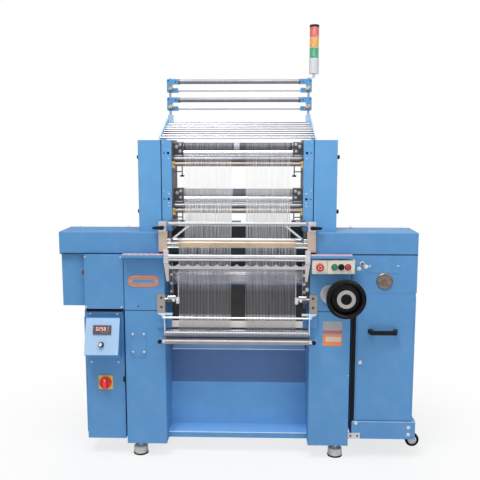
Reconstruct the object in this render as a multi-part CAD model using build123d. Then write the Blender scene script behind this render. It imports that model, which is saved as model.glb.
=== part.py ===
from build123d import *
import math
import os

os.makedirs("parts", exist_ok=True)

# Driving dimensions of the machine, in millimetres
pillar_gap = 756.0
pillar_width = 214.0
pillar_depth = 500.0
foot_height = 80.0
pillar_height = 735.0
head_height = 297.0
cover_height = 116.0
tower_height = 472.0
tower_width = 175.0
tower_depth = 240.0
gear_box_width = 334.0
gear_box_depth = 200.0
cabinet_width = 330.0
cabinet_depth = 400.0
electric_width = 207.0
electric_height = 712.0
electric_depth = 250.0

# Stock thicknesses and clearances used all over the machine
sheet = 3.0
plate = 8.0
casting_wall = 12.0
edge_round = 5.0
panel_gap = 2.0
running_gap = 0.5
bearing_gap = 0.05
overrun = 10.0

# Planes that the pieces share, worked out from the dimensions above
half_gap = pillar_gap / 2
pillar_outer = half_gap + pillar_width
head_z = foot_height + pillar_height
cover_z = head_z + head_height
tower_z = cover_z + cover_height
tower_top = tower_z + tower_height


def block(x0, x1, y0, y1, z0, z1):
    """A box between six planes."""
    middle = Pos((x0 + x1) / 2, (y0 + y1) / 2, (z0 + z1) / 2)
    return middle * Box(x1 - x0, y1 - y0, z1 - z0)


def rod_x(x0, x1, y, z, radius):
    """A round bar along X."""
    return Pos((x0 + x1) / 2, y, z) * Rot(0, 90, 0) * Cylinder(radius, x1 - x0)


def rod_y(x, y0, y1, z, radius):
    """A round bar along Y."""
    return Pos(x, (y0 + y1) / 2, z) * Rot(90, 0, 0) * Cylinder(radius, y1 - y0)


def rod_z(x, y, z0, z1, radius):
    """A round bar along Z."""
    return Pos(x, y, (z0 + z1) / 2) * Cylinder(radius, z1 - z0)


def prism_x(points, x0, x1):
    """A profile of (y, z) points, extruded along X."""
    face = Plane.YZ.offset(x0) * make_face(Polyline(*points, close=True))
    return extrude(face, amount=x1 - x0)


def prism_y(points, y0, y1):
    """A profile of (x, z) points, extruded along Y."""
    face = Plane.XZ.offset(-y0) * make_face(Polyline(*points, close=True))
    return extrude(face, amount=y0 - y1)


def turned_y(points, x, z):
    """A profile of (radius, y) points, turned about a line along Y."""
    face = make_face(Polyline(*points, close=True))
    return Pos(x, 0, z) * revolve(face, axis=Axis.Y)


def rounded(solid, axis, radius):
    """The solid with its outer edges along one axis rounded."""
    return fillet(solid.edges().filter_by(axis), radius)


def both_sides(make):
    """A piece and its mirror image on the other side of the centre line."""
    return [make(), mirror(make(), about=Plane.YZ)]


pieces = {}


def add(name, *solids):
    """Keeps the solids of one sub-part under its name."""
    kept = pieces.setdefault(name, [])
    for solid in solids:
        kept.extend(solid.solids())


# Pillars: two welded box legs, open below
pillar_cap = 20.0


def pillar():
    outer = block(half_gap, pillar_outer, 0, pillar_depth, foot_height, head_z)
    outer = rounded(outer, Axis.Z, edge_round)
    hollow = block(
        half_gap + casting_wall,
        pillar_outer - casting_wall,
        casting_wall,
        pillar_depth - casting_wall,
        foot_height + pillar_cap,
        head_z - pillar_cap,
    )
    return outer - hollow


add("pillars", *both_sides(pillar))


# Levelling feet: a steel disc on a rubber sole, with a threaded stem and a lock nut
foot_radius = 38.0
foot_disc = 46.0
foot_sole = 8.0
foot_sole_lip = 2.0
foot_stem_radius = 12.0
foot_nut_radius = 22.0
foot_nut_height = 14.0
foot_outer_inset = 62.0
foot_front_inset = 62.0


def levelling_foot(x, y):
    body = rod_z(x, y, 0, foot_disc, foot_radius)
    body = fillet(body.edges().sort_by(Axis.Z)[-1], foot_sole)
    sole = rod_z(x, y, 0, foot_sole, foot_radius + foot_sole_lip)
    stem = rod_z(x, y, 0, foot_height, foot_stem_radius)
    nut = Pos(x, y, foot_height - foot_nut_height) * extrude(
        RegularPolygon(foot_nut_radius, 6), amount=foot_nut_height
    )
    return body + sole + stem + nut


foot_x = pillar_outer - foot_outer_inset
for foot_y in (foot_front_inset, pillar_depth - foot_front_inset):
    for side in (-1, 1):
        add("levelling_feet", levelling_foot(side * foot_x, foot_y))


# Lower tray: one folded sheet between the pillars, with a sloped back and a front lip
tray_front = 60.0
tray_back = 235.0
tray_slope_run = 55.0
tray_lip_low = 12.0
tray_lip_high = 44.0
tray_fold_z = 346.0
tray_ledge_z = 540.0
tray_ledge = 30.0
tray_top_z = 640.0
tray_wing = 24.0


def tray_section(offset):
    """One face of the folded sheet, from the lip up to the top edge."""
    return [
        (tray_front + offset, foot_height + tray_lip_low),
        (tray_front + offset, foot_height + tray_lip_high - offset),
        (tray_back - tray_slope_run + offset, foot_height + tray_lip_high - offset),
        (tray_back + offset, tray_fold_z),
        (tray_back + offset, tray_ledge_z - offset),
        (tray_back + tray_ledge + offset, tray_ledge_z - offset),
        (tray_back + tray_ledge + offset, tray_top_z),
    ]


tray_outline = tray_section(0) + tray_section(sheet)[::-1]
tray = prism_x(tray_outline, -half_gap, half_gap)
for side in (-1, 1):
    wing_edges = sorted((side * half_gap, side * (half_gap - sheet)))
    wing_back = tray_back + tray_wing
    wing = block(*wing_edges, tray_back + sheet, wing_back, tray_fold_z, tray_ledge_z - sheet)
    tray = tray + wing
add("cross_members", tray)

# Rear cross beam: a rectangular tube that ties the pillars together
beam_height = 120.0
beam_depth = 80.0
beam_wall = 6.0
beam_rear_inset = 40.0
beam_z = 560.0
beam_back = pillar_depth - beam_rear_inset
beam = block(-half_gap, half_gap, beam_back - beam_depth, beam_back, beam_z, beam_z + beam_height)
beam_hollow = block(
    -half_gap,
    half_gap,
    beam_back - beam_depth + beam_wall,
    beam_back - beam_wall,
    beam_z + beam_wall,
    beam_z + beam_height - beam_wall,
)
add("cross_members", beam - beam_hollow)


# Head castings: closed gear heads on the pillars
head_depth = 300.0


def head():
    outer = block(half_gap, pillar_outer, 0, head_depth, head_z, cover_z)
    return rounded(outer, Axis.Z, edge_round)


# The right head carries the handwheel's shaft in a bearing hole
wheel_outer_inset = 40.0
wheel_rise = 93.0
wheel_shaft_radius = 15.0
wheel_bearing_depth = 80.0
wheel_x = pillar_outer - wheel_outer_inset
wheel_z = head_z + wheel_rise
wheel_hole = rod_y(
    wheel_x, -overrun, wheel_bearing_depth, wheel_z, wheel_shaft_radius + bearing_gap
)
add("head_castings", mirror(head(), about=Plane.YZ), head() - wheel_hole)


# Left gear box: an open sheet box beside the left head, behind a raised cover plate
gear_box_front = 40.0
gear_box_rise = 15.0
gear_plate_width = 209.0
gear_plate_drop = 8.0
gear_left = -(pillar_outer + gear_box_width)
gear_box_low = head_z + gear_box_rise
gear_box_back = gear_box_front + gear_box_depth
gear_box = block(gear_left, -pillar_outer, gear_box_front, gear_box_back, gear_box_low, cover_z)
gear_box_hollow = block(
    gear_left + sheet,
    -pillar_outer - sheet,
    gear_box_front + sheet,
    gear_box_back - sheet,
    gear_box_low + sheet,
    cover_z - sheet,
)
gear_window_edge = 25.0
gear_window = block(
    -pillar_outer - gear_plate_width + gear_window_edge,
    -pillar_outer - gear_window_edge,
    gear_box_front - overrun,
    gear_box_front + overrun,
    gear_box_low + gear_window_edge,
    cover_z - gear_window_edge,
)
add("head_castings", gear_box - gear_box_hollow - gear_window)

plate_box = block(
    -pillar_outer - gear_plate_width,
    -pillar_outer - panel_gap,
    0,
    gear_box_front,
    gear_box_low - gear_plate_drop,
    cover_z - panel_gap,
)
plate_box = fillet(plate_box.edges().filter_by(Axis.Z).group_by(Axis.Y)[0], edge_round)
plate_open = plate_box.faces().sort_by(Axis.Y)[-1:]
plate_box = offset(plate_box, -sheet, openings=plate_open, kind=Kind.INTERSECTION)
add("gear_cover_plate", plate_box)


# Top covers: folded lids over the heads, a little wider than the boxes below
cover_front = 20.0
cover_overhang = 5.0
cover_seam = 4.0
cover_inner_inset = 30.0
cover_inner = half_gap + cover_inner_inset
cover_back = gear_box_back + cover_overhang
head_box_overhang = 4.0


def top_cover(inner, outer):
    lid = block(inner, outer, cover_front, cover_back, cover_z + cover_seam, tower_z)
    lid = fillet(lid.edges().group_by(Axis.Z)[-1], edge_round)
    hollow = block(
        inner + sheet,
        outer - sheet,
        cover_front + sheet,
        cover_back - sheet,
        cover_z,
        tower_z - sheet - edge_round,
    )
    return lid - hollow


cabinet_gap = 8.0
cabinet_outer = pillar_outer + cabinet_gap + cabinet_width
cover_left = pillar_outer + gear_box_width + cover_overhang
cover_right = cabinet_outer + head_box_overhang
seal_width = 12.0


def cover_seal(inner, outer):
    """The foot ring inside a top cover, which stands on the head and leaves the dark seam."""
    foot_top = cover_z + cover_seam + seal_width
    ring = block(inner + sheet, outer - sheet, cover_front + sheet, cover_back - sheet, cover_z, foot_top)
    ring_edge = sheet + seal_width
    hole = block(
        inner + ring_edge,
        outer - ring_edge,
        cover_front + ring_edge,
        cover_back - ring_edge,
        cover_z - overrun,
        tower_z - overrun,
    )
    return ring - hole


add("top_covers", top_cover(cover_inner, cover_right) + cover_seal(cover_inner, cover_right))
left_cover = top_cover(cover_inner, cover_left) + cover_seal(cover_inner, cover_left)
add("top_covers", mirror(left_cover, about=Plane.YZ))


# Towers: a folded inner channel on each head, and a sheet cover outside it
tower_inset = 38.0
tower_front = 60.0
channel_width = 53.0
seal_gap = 3.0
cover_step = 5.0
tower_inner = half_gap - tower_inset
channel_outer = tower_inner + channel_width
tower_outer = tower_inner + tower_width
tower_back = tower_front + tower_depth


def tower_channel():
    body = block(tower_inner, channel_outer, tower_front, tower_back, tower_z, tower_top)
    body = fillet(body.edges().filter_by(Axis.Z).group_by(Axis.X)[0], edge_round)
    hollow = block(
        tower_inner + plate,
        channel_outer + overrun,
        tower_front + plate,
        tower_back - plate,
        tower_z - overrun,
        tower_top + overrun,
    )
    leg = block(half_gap, channel_outer, tower_front, tower_back, cover_z, tower_z)
    leg_hollow = block(
        half_gap + plate, channel_outer + overrun, tower_front + plate, tower_back - plate, 0, tower_z
    )
    return body - hollow + (leg - leg_hollow)


def tower_cover():
    inner = channel_outer + seal_gap
    shell = block(
        inner, tower_outer, tower_front - cover_step, tower_back + cover_step, tower_z, tower_top
    )
    shell = rounded(shell, Axis.Z, edge_round)
    hollow = block(
        inner - overrun,
        tower_outer - sheet,
        tower_front - cover_step + sheet,
        tower_back + cover_step - sheet,
        tower_z + sheet,
        tower_top - sheet,
    )
    return shell - hollow


add("towers", *both_sides(tower_channel), *both_sides(tower_cover))

# Black knobs: two on the outer side of each tower cover
knob_radius = 11.0
knob_stem_radius = 6.0
knob_stem = 9.0
knob_head = 12.0
knob_dome = 4.0
tower_knob_y = 150.0
tower_knob_drop = 88.0
tower_knob_rise = 96.0


def side_knob(x, y, z):
    """A knob on a face that looks along +X."""
    stem = rod_x(x, x + knob_stem + knob_dome, y, z, knob_stem_radius)
    head_round = rod_x(x + knob_stem, x + knob_stem + knob_head, y, z, knob_radius)
    head_round = fillet(head_round.edges().filter_by(GeomType.CIRCLE), knob_dome)
    return stem + head_round


for knob_z in (tower_top - tower_knob_drop, tower_z + tower_knob_rise):
    add("black_knobs", *both_sides(lambda: side_knob(tower_outer, tower_knob_y, knob_z)))

# Fan: two slanted arms on the towers, with eight yarn rods between them
fan_count = 8
fan_rod_radius = 5.0
fan_arm_x = 396.0
fan_first_y = 76.0
fan_last_y = 380.0
fan_first_rise = 12.0
fan_last_rise = 100.0
fan_edge = 22.0
fan_foot_front = tower_front
fan_foot_back = tower_back
fan_arm_profile = [
    (fan_foot_front, tower_top),
    (fan_foot_back, tower_top),
    (fan_last_y + fan_edge, tower_top + fan_last_rise - fan_edge),
    (fan_last_y + fan_edge, tower_top + fan_last_rise + fan_edge),
    (fan_last_y - fan_edge, tower_top + fan_last_rise + fan_edge),
    (fan_foot_front, tower_top + fan_first_rise + fan_rod_radius),
]
post_inset = 12.5
post_lift = 20.0
post_seat_half = 14.0
post_x = fan_arm_x - post_inset
post_y = fan_last_y
post_foot = tower_top + fan_last_rise + fan_edge + post_lift


def fan_arm():
    """An arm with the seat of its post, which the last rod runs through."""
    seat_low = tower_top + fan_last_rise - fan_edge
    seat_depth = (post_y - post_seat_half, post_y + post_seat_half)
    seat = block(post_x - post_seat_half, fan_arm_x, *seat_depth, seat_low, post_foot)
    last_rod = rod_x(-fan_arm_x, fan_arm_x, fan_last_y, tower_top + fan_last_rise, fan_rod_radius)
    return prism_x(fan_arm_profile, fan_arm_x, fan_arm_x + plate) + (seat - last_rod)


add("fan_brackets", *both_sides(fan_arm))
for index in range(fan_count):
    share = index / (fan_count - 1)
    rod_at_y = fan_first_y + share * (fan_last_y - fan_first_y)
    rod_at_z = tower_top + fan_first_rise + share * (fan_last_rise - fan_first_rise)
    add("fan_rods", rod_x(-fan_arm_x, fan_arm_x, rod_at_y, rod_at_z, fan_rod_radius))

# Top frame: two posts on the fan arms, with cast clamps that hold the top yarn rods
post_radius = 7.0
post_height = 198.0
clamp_reach = 45.5
clamp_back = 17.0
clamp_half_depth = 14.0
clamp_margin = 14.0
clamp_round = 6.0
throat_gap = 1.0
thick_rod_radius = 12.5
thin_rod_radius = 9.0
thick_rod_heights = (180.0, 81.0)
thin_rod_drop = 45.0
wing_nut_radius = 9.0
wing_nut_length = 12.0
wing_nut_inset = 6.0
wing_nut_rise = 8.0
clamp_inner = post_x - clamp_reach
clamp_outer = post_x + clamp_back
post_top = post_foot + post_height
add("top_frame", *both_sides(lambda: rod_z(post_x, post_y, post_foot, post_top, post_radius)))
for height in thick_rod_heights:
    thick_z = post_foot + height
    thin_z = thick_z - thin_rod_drop

    def rod_clamp():
        body = block(
            clamp_inner,
            clamp_outer,
            post_y - clamp_half_depth,
            post_y + clamp_half_depth,
            thin_z - clamp_margin,
            thick_z + clamp_margin,
        )
        body = rounded(body, Axis.Y, clamp_round)
        throat = block(
            clamp_inner - overrun,
            post_x - clamp_margin,
            post_y - clamp_half_depth - overrun,
            post_y + clamp_half_depth + overrun,
            thin_z + thin_rod_radius + throat_gap,
            thick_z - thick_rod_radius - throat_gap,
        )
        hole = rod_z(post_x, post_y, post_foot, post_top + overrun, post_radius)
        return body - throat - hole

    add("top_frame", *both_sides(rod_clamp))
    add("top_yarn_rods", rod_x(-clamp_inner, clamp_inner, post_y, thick_z, thick_rod_radius))
    add("top_yarn_rods", rod_x(-clamp_inner, clamp_inner, post_y, thin_z, thin_rod_radius))

    def wing_nut():
        face_y = post_y - clamp_half_depth
        nut_x = post_x - wing_nut_inset
        return rod_y(nut_x, face_y - wing_nut_length, face_y, thin_z + wing_nut_rise, wing_nut_radius)

    add("brass_clamps", *both_sides(wing_nut))

# Signal light: a bracket on the right post, a grey base, three lenses and a cap
light_radius = 27.0
light_offset = 27.5
light_base_height = 80.0
lens_height = 55.0
light_cap_height = 14.0
light_bracket_rise = 26.0
light_bracket_half = 16.0
light_x = post_x + light_offset
light_foot = post_top + light_bracket_rise
tab_sides = (post_y - post_radius, post_y + post_radius)
tab = block(post_x - post_radius, light_x + post_radius, *tab_sides, post_top, post_top + sheet)
tab = tab + block(light_x - post_radius, light_x + post_radius, *tab_sides, post_top, light_foot - sheet)
flange = rod_z(light_x, post_y, light_foot - sheet, light_foot, light_radius)
base_body = rod_z(light_x, post_y, light_foot, light_foot + light_base_height, light_radius)
lens_foot = light_foot + light_base_height
cap_foot = lens_foot + 3 * lens_height
cap = rod_z(light_x, post_y, cap_foot, cap_foot + light_cap_height, light_radius)
cap = fillet(cap.edges().sort_by(Axis.Z)[-1], light_cap_height / 2)
add("signal_light_base", tab + flange + base_body, cap)
for index, lens in enumerate(("green_lens", "amber_lens", "red_lens")):
    lens_z = lens_foot + index * lens_height
    add(lens, rod_z(light_x, post_y, lens_z, lens_z + lens_height, light_radius - sheet / 2))


# Rear shield: a dark sheet between the heads with its top and bottom edges folded back, and a tie tube
shield_inset = 12.0
shield_lift = 8.0
shield_fold = 12.0
shield_back = head_depth - shield_inset
shield_low = beam_z + beam_height + shield_lift
shield_high = tower_z - running_gap
shield_half = half_gap - running_gap
shield = block(-shield_half, shield_half, shield_back - sheet, shield_back, shield_low, shield_high)
for fold_z in (shield_low, shield_high - sheet):
    fold_depth = (shield_back, shield_back + shield_fold)
    shield = shield + block(-shield_half, shield_half, *fold_depth, fold_z, fold_z + sheet)
add("cross_members", shield)
tie_radius = 45.0
tie_wall = 5.0
tie_y = 160.0
tie_rise = 150.0
tie_z = head_z + tie_rise
tie = rod_x(-shield_half, shield_half, tie_y, tie_z, tie_radius)
tie_bore = rod_x(-half_gap, half_gap, tie_y, tie_z, tie_radius - tie_wall)
add("cross_members", tie - tie_bore)

# Warp feed: in each of two sets a feed roller and a press roller run in bearing blocks on the towers
feed_drops = {"upper": 32.0, "lower": 276.0}
roller_radius = 19.0
journal_radius = 9.0
feed_y = 190.0
nip_lean_deg = 19.0
roller_end_gap = 52.0
bearing_width = 48.0
bearing_margin = 14.0
journal_end_gap = 1.0
guide_tube_y = 110.0
guide_tube_drop = 67.0
guide_tube_radius = 14.0
brown_tube_y = 90.0
brown_tube_drop = 92.0
brown_tube_radius = 11.5
brass_width = 14.0
brass_rise = 8.0
screw_radius = 3.0
screw_inset = 41.0
screw_drop = 93.0
star_radius = 11.0
star_height = 9.0
star_arms = 5
star_core_share = 0.75
star_lobe_place_share = 0.7
star_lobe_share = 0.35
nip_distance = 2 * roller_radius + running_gap
nip_y = nip_distance * math.sin(math.radians(nip_lean_deg))
nip_z = nip_distance * math.cos(math.radians(nip_lean_deg))
press_y = feed_y - nip_y
bearing_inner = tower_inner - bearing_width
roller_half = tower_inner - roller_end_gap


def roller(y, z):
    """A roller with its two journals."""
    drum = rod_x(-roller_half, roller_half, y, z, roller_radius)
    journal_half = tower_inner - journal_end_gap
    return drum + rod_x(-journal_half, journal_half, y, z, journal_radius)


for set_name, drop in feed_drops.items():
    feed_z = tower_top - drop
    press_z = feed_z - nip_z
    tube_z = feed_z - guide_tube_drop
    brown_z = feed_z - brown_tube_drop
    add(set_name + "_feed_roller", roller(feed_y, feed_z))
    add(set_name + "_press_roller", roller(press_y, press_z))

    def bearing_block():
        low_z = press_z - journal_radius - bearing_margin
        body = block(
            bearing_inner,
            tower_inner,
            press_y - journal_radius - bearing_margin,
            feed_y + journal_radius + bearing_margin,
            low_z,
            feed_z + journal_radius + bearing_margin,
        )
        body = chamfer(body.edges().filter_by(Axis.X), bearing_margin / 2)
        for y, z in ((feed_y, feed_z), (press_y, press_z)):
            body = body - rod_x(0, tower_outer, y, z, journal_radius + bearing_gap)
        screw_z = low_z - screw_drop
        screw_x = tower_inner - screw_inset
        screw = rod_z(screw_x, press_y, screw_z, low_z + screw_radius, screw_radius)
        arm_z = screw_z + star_height * 2
        arm = rod_x(screw_x, tower_inner, press_y, arm_z, screw_radius)
        return body + screw + arm

    def star_knob():
        low_z = press_z - journal_radius - bearing_margin
        spot = Pos(tower_inner - screw_inset, press_y, low_z - screw_drop - star_height)
        lobes = PolarLocations(star_radius * star_lobe_place_share, star_arms)
        plan = Circle(star_radius * star_core_share) + lobes * Circle(star_radius * star_lobe_share)
        return spot * extrude(plan, amount=star_height)

    def brass_clamp():
        body = block(
            tower_inner - brass_width,
            tower_inner,
            brown_tube_y - brown_tube_radius - brass_rise,
            brown_tube_y,
            brown_z - brown_tube_radius - brass_rise,
            brown_z + brown_tube_radius + brass_rise / 2,
        )
        return body - rod_x(0, tower_outer, brown_tube_y, brown_z, brown_tube_radius)

    add("roller_brackets", *both_sides(bearing_block))
    add("black_knobs", *both_sides(star_knob))
    add("guide_tubes", rod_x(-tower_inner, tower_inner, guide_tube_y, tube_z, guide_tube_radius))
    add("guide_tubes", rod_x(-tower_inner, tower_inner, brown_tube_y, brown_z, brown_tube_radius))
    add("brass_clamps", *both_sides(brass_clamp))


# Knitting zone: two plated end plates on the heads carry the bars
end_plate_inset = 17.0
end_plate_depth = 45.0
end_plate_rise = 3.0
end_inner = half_gap - end_plate_inset
end_outer = cover_inner - panel_gap
end_top = tower_z + end_plate_rise
add(
    "bracket_plates",
    *both_sides(lambda: block(end_inner, end_outer, 0, end_plate_depth, cover_z, end_top)),
)

# Top bar: a flat bar in two clamp brackets, with a brace down to each end plate
bar_front = 10.0
bar_depth = 20.0
bar_rise = 32.0
bar_height = 18.0
bar_bracket_inner = 366.0
bar_bracket_front = 0.0
bar_bracket_depth = 35.0
brace_width = 14.0
brace_foot_z = 1165.0
brace_head_x = 255.0
bar_low = end_top + bar_rise
top_bar = block(
    -bar_bracket_inner, bar_bracket_inner, bar_front, bar_front + bar_depth, bar_low, bar_low + bar_height
)
lever_pin_radius = 5.0
lever_pin_length = 15.0
lever_x = (bar_bracket_inner + end_outer) / 2
lever_z = end_top + bar_rise / 2 + lever_pin_radius


def bar_bracket():
    body = block(
        bar_bracket_inner,
        end_outer,
        bar_bracket_front,
        bar_bracket_depth,
        end_top,
        bar_low + bar_height + end_plate_rise,
    )
    body = rounded(body, Axis.Y, edge_round)
    pin_bore = lever_pin_radius + bearing_gap
    pin_hole = rod_y(lever_x, -overrun, lever_pin_length + running_gap, lever_z, pin_bore)
    return body - pin_hole


def brace():
    profile = [
        (end_inner, brace_foot_z),
        (end_inner, brace_foot_z + brace_width),
        (brace_head_x, bar_low),
        (brace_head_x - brace_width, bar_low),
    ]
    return prism_y(profile, bar_front, bar_front + brace_width)


top_bar = top_bar + both_sides(bar_bracket) + both_sides(brace)
add("top_bar", top_bar)

# Clamp levers: black hand levers that turn on pins in the bar brackets
lever_length = 44.0
lever_boss_radius = 10.0
lever_tip_radius = 6.0
lever_thickness = 13.0


def clamp_lever():
    tip = Pos(lever_length, 0) * Circle(lever_tip_radius)
    plan = make_hull((Circle(lever_boss_radius) + tip).edges())
    handle = extrude(Plane.XZ * plan, amount=lever_thickness)
    pin = rod_y(0, 0, lever_pin_length, 0, lever_pin_radius)
    return Pos(lever_x, -running_gap, lever_z) * (handle + pin)


add("right_clamp_lever", clamp_lever())
add("left_clamp_lever", mirror(clamp_lever(), about=Plane.YZ))

# Needle bed, needle bar under it and guide bar on it
bed_front = 25.0
bed_depth = 40.0
bed_low = 1145.0
bed_height = 32.0
bed_step = 6.0
bed_back = bed_front + bed_depth
bed_top = bed_low + bed_height
bed_profile = [
    (bed_front, bed_low),
    (bed_back, bed_low),
    (bed_back, bed_top),
    (bed_front + bed_step, bed_top),
    (bed_front, bed_top - bed_step),
]
add("needle_bed", prism_x(bed_profile, -end_inner, end_inner))

needle_bar_height = 24.0
needle_bar_front = 42.0
needle_bar_depth = 22.0
needle_length = 14.0
needle_count = 48
needle_width = 3.0
needle_span = 576.0
needle_top = bed_low - running_gap
needle_bar_half = end_inner - running_gap
needle_pitch = needle_span / needle_count
needle_bar = block(
    -needle_bar_half,
    needle_bar_half,
    needle_bar_front,
    needle_bar_front + needle_bar_depth,
    needle_top - needle_bar_height,
    needle_top,
)
for index in range(needle_count):
    needle_x = (index - (needle_count - 1) / 2) * needle_pitch
    needle_bar = needle_bar + block(
        needle_x - needle_width / 2,
        needle_x + needle_width / 2,
        needle_bar_front - needle_length,
        needle_bar_front,
        needle_top - needle_width,
        needle_top,
    )
add("needle_bar", needle_bar)

guide_bar_radius = 8.5
guide_bar_front = 30.0
guide_bar_clear = 16.0
guide_bar_half = end_inner - guide_bar_clear
guide_bar_y = guide_bar_front + guide_bar_radius
guide_bar_z = bed_top + running_gap + guide_bar_radius
guide_bar = rod_x(-guide_bar_half, guide_bar_half, guide_bar_y, guide_bar_z, guide_bar_radius)
guide_bar = chamfer(guide_bar.edges(), guide_bar_radius / 4)
add("guide_bar", guide_bar)

# Twin front bars in end blocks on the end plates
block_inner = 350.0
block_front = 44.0
block_low = 1076.0
block_rise = 26.0
block_outer = half_gap - panel_gap
twin_back = 26.0
twin_depth = 16.0
twin_heights = (14.0, 18.0)
twin_low = 1084.0
twin_gap = 1.0
block_high = cover_z + block_rise
bar_block = block(block_inner, block_outer, -block_front, 0, block_low, block_high)
add("front_bars", *both_sides(lambda: bar_block))
bar_z = twin_low
for height in twin_heights:
    bar = block(-block_inner, block_inner, -twin_back - twin_depth, -twin_back, bar_z, bar_z + height)
    add("front_bars", chamfer(bar.edges().filter_by(Axis.X), twin_gap * 2))
    bar_z = bar_z + height + twin_gap

# Guard strip: a thin scalloped strip on two arms under the end blocks
strip_low = 1043.0
strip_valley = 14.0
strip_peak = 28.0
strip_waves = 14
strip_front = 36.0
strip_lap = 2.0
arm_low = 980.0
arm_tip = 12.0
arm_front = 40.0
strip_half = block_inner + strip_lap
wave = 2 * strip_half / strip_waves


def wave_top():
    """The scalloped upper edge, with round valleys between sharp peaks."""
    edges = []
    for index in range(strip_waves):
        left = -strip_half + index * wave
        edges.append(
            ThreePointArc(
                (left, strip_low + strip_peak),
                (left + wave / 2, strip_low + strip_valley),
                (left + wave, strip_low + strip_peak),
            )
        )
    return edges


strip_ends = Polyline(
    (strip_half, strip_low + strip_peak),
    (strip_half, strip_low),
    (-strip_half, strip_low),
    (-strip_half, strip_low + strip_peak),
)
strip_face = make_face(Curve() + wave_top() + strip_ends)
strip = extrude(Plane.XZ.offset(strip_front - sheet) * strip_face, amount=sheet)


def strip_arm():
    profile = [
        (block_inner, block_low),
        (block_outer, block_low),
        (block_inner + arm_tip, arm_low),
        (block_inner, arm_low),
    ]
    return prism_y(profile, -arm_front, -strip_front + sheet)


add("guard_strip", strip + both_sides(strip_arm))

# Warp: yarn sheets from the guide tubes to the guide bar, and two knitted webs below the bed
yarn_thickness = 0.8
yarn_margin = 4.0
yarn_slot_share = 0.62
warp_slots = 56
web_slots = 27
warp_half = 290.0
warp_front_y = 40.0
warp_step_y = 10.0
web_outer = 300.0
web_left_inner = 26.0
web_right_inner = 42.0
web_nip_rise = 14.0


def yarn_sheet(x0, x1, top, foot, slots):
    """A thin sheet with long slots, between two (y, z) ends."""
    run_y = top[0] - foot[0]
    run_z = top[1] - foot[1]
    length = math.hypot(run_y, run_z)
    middle = ((x0 + x1) / 2, (top[0] + foot[0]) / 2, (top[1] + foot[1]) / 2)
    plane = Plane(middle, x_dir=(1, 0, 0), z_dir=(0, -run_z / length, run_y / length))
    pitch = (x1 - x0) / slots
    slot = Rectangle(pitch * yarn_slot_share, length - 2 * yarn_margin)
    plan = Rectangle(x1 - x0, length) - GridLocations(pitch, 0, slots, 1) * slot
    return extrude(plane * plan, amount=yarn_thickness / 2, both=True)


guide_top = guide_bar_z + guide_bar_radius + running_gap
for index, drop in enumerate(feed_drops.values()):
    yarn_top = (
        brown_tube_y - brown_tube_radius - running_gap - yarn_thickness / 2,
        tower_top - drop - brown_tube_drop,
    )
    yarn_foot = (warp_front_y + index * warp_step_y, guide_top)
    add("warp_sheets", yarn_sheet(-warp_half, warp_half, yarn_top, yarn_foot, warp_slots))

# Take-down: a driven roller between the pillars and a press roller on two swing arms
takedown_y = 12.0
takedown_z = 698.0
takedown_radius = 17.0
takedown_journal = 10.0
takedown_seat = 8.0
nip_gap = 0.6
press_roller_y = takedown_y - 2 * takedown_radius - nip_gap
web_top = (bed_front - running_gap - yarn_thickness / 2, bed_low + yarn_margin)
web_foot = (takedown_y - takedown_radius, takedown_z + web_nip_rise)
add("fabric_web", yarn_sheet(-web_outer, -web_left_inner, web_top, web_foot, web_slots))
add("fabric_web", yarn_sheet(web_right_inner, web_outer, web_top, web_foot, web_slots))

driven = rod_x(-half_gap + running_gap, half_gap - running_gap, takedown_y, takedown_z, takedown_radius)
journal_half = half_gap + takedown_seat
add("takedown_roller", driven + rod_x(-journal_half, journal_half, takedown_y, takedown_z, takedown_journal))
bore = rod_x(
    -journal_half - running_gap,
    journal_half + running_gap,
    takedown_y,
    takedown_z,
    takedown_journal + bearing_gap,
)
pieces["pillars"] = [solid for leg in pieces["pillars"] for solid in (leg - bore).solids()]

# Beige plates on the heads, and the strip behind the webs
hook_inner = half_gap - panel_gap
hook_reach = 40.0
hook_outer = half_gap + hook_reach
hook_low = 803.0
hook_high = 903.0
hook_rod_z = 880.0
hook_rod_radius = 4.0
hook_rod_inner = 300.0
hook_block_width = 18.0
hook_block_half = 9.0


def hook_plate():
    return block(hook_inner, hook_outer, -plate, 0, hook_low, hook_high)


def edge_clamp():
    rod_y_at = -plate / 2 - hook_rod_radius / 2
    rod = rod_x(hook_rod_inner, hook_inner, rod_y_at, hook_rod_z, hook_rod_radius)
    jaw = block(
        hook_rod_inner,
        hook_rod_inner + hook_block_width,
        rod_y_at - hook_block_half,
        rod_y_at + hook_rod_radius,
        hook_rod_z - hook_block_half * 2,
        hook_rod_z + hook_block_half,
    )
    return rod + jaw


back_strip_low = 723.0
back_strip_high = 759.0
add("bracket_plates", *both_sides(hook_plate))
add("front_bars", *both_sides(edge_clamp))
back_strip_depth = (takedown_y, takedown_y + sheet)
add("bracket_plates", block(-half_gap, half_gap, *back_strip_depth, back_strip_low, back_strip_high))

# Blue take-down brackets on the pillars, with the pivot pins of the swing arms
bracket_low = 726.0
bracket_plate = 10.0
pivot_y = -34.0
pivot_z = 792.0
pivot_radius = 5.0
arm_thickness = 6.0
arm_inset = 5.0
arm_inner = half_gap - arm_inset
lug_thickness = 9.0
lug_half = 9.0
ledge_inner = 337.0
ledge_inset = 12.0
ledge_depth = 22.0
ledge_thickness = 8.0
arm_outer = arm_inner + arm_thickness


def takedown_bracket():
    flange = block(half_gap, hook_outer, -bracket_plate, 0, bracket_low, hook_low)
    lug_x = arm_outer + running_gap
    lug = block(lug_x, lug_x + lug_thickness, pivot_y - lug_half, 0, pivot_z - lug_half, pivot_z + lug_half)
    pin = rod_x(arm_inner, lug_x, pivot_y, pivot_z, pivot_radius)
    ledge_low = hook_low - ledge_thickness
    ledge = block(ledge_inner, hook_outer - ledge_inset, -ledge_depth, 0, ledge_low, hook_low)
    return flange + lug + pin + ledge


add("takedown_brackets", *both_sides(takedown_bracket))

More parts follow.
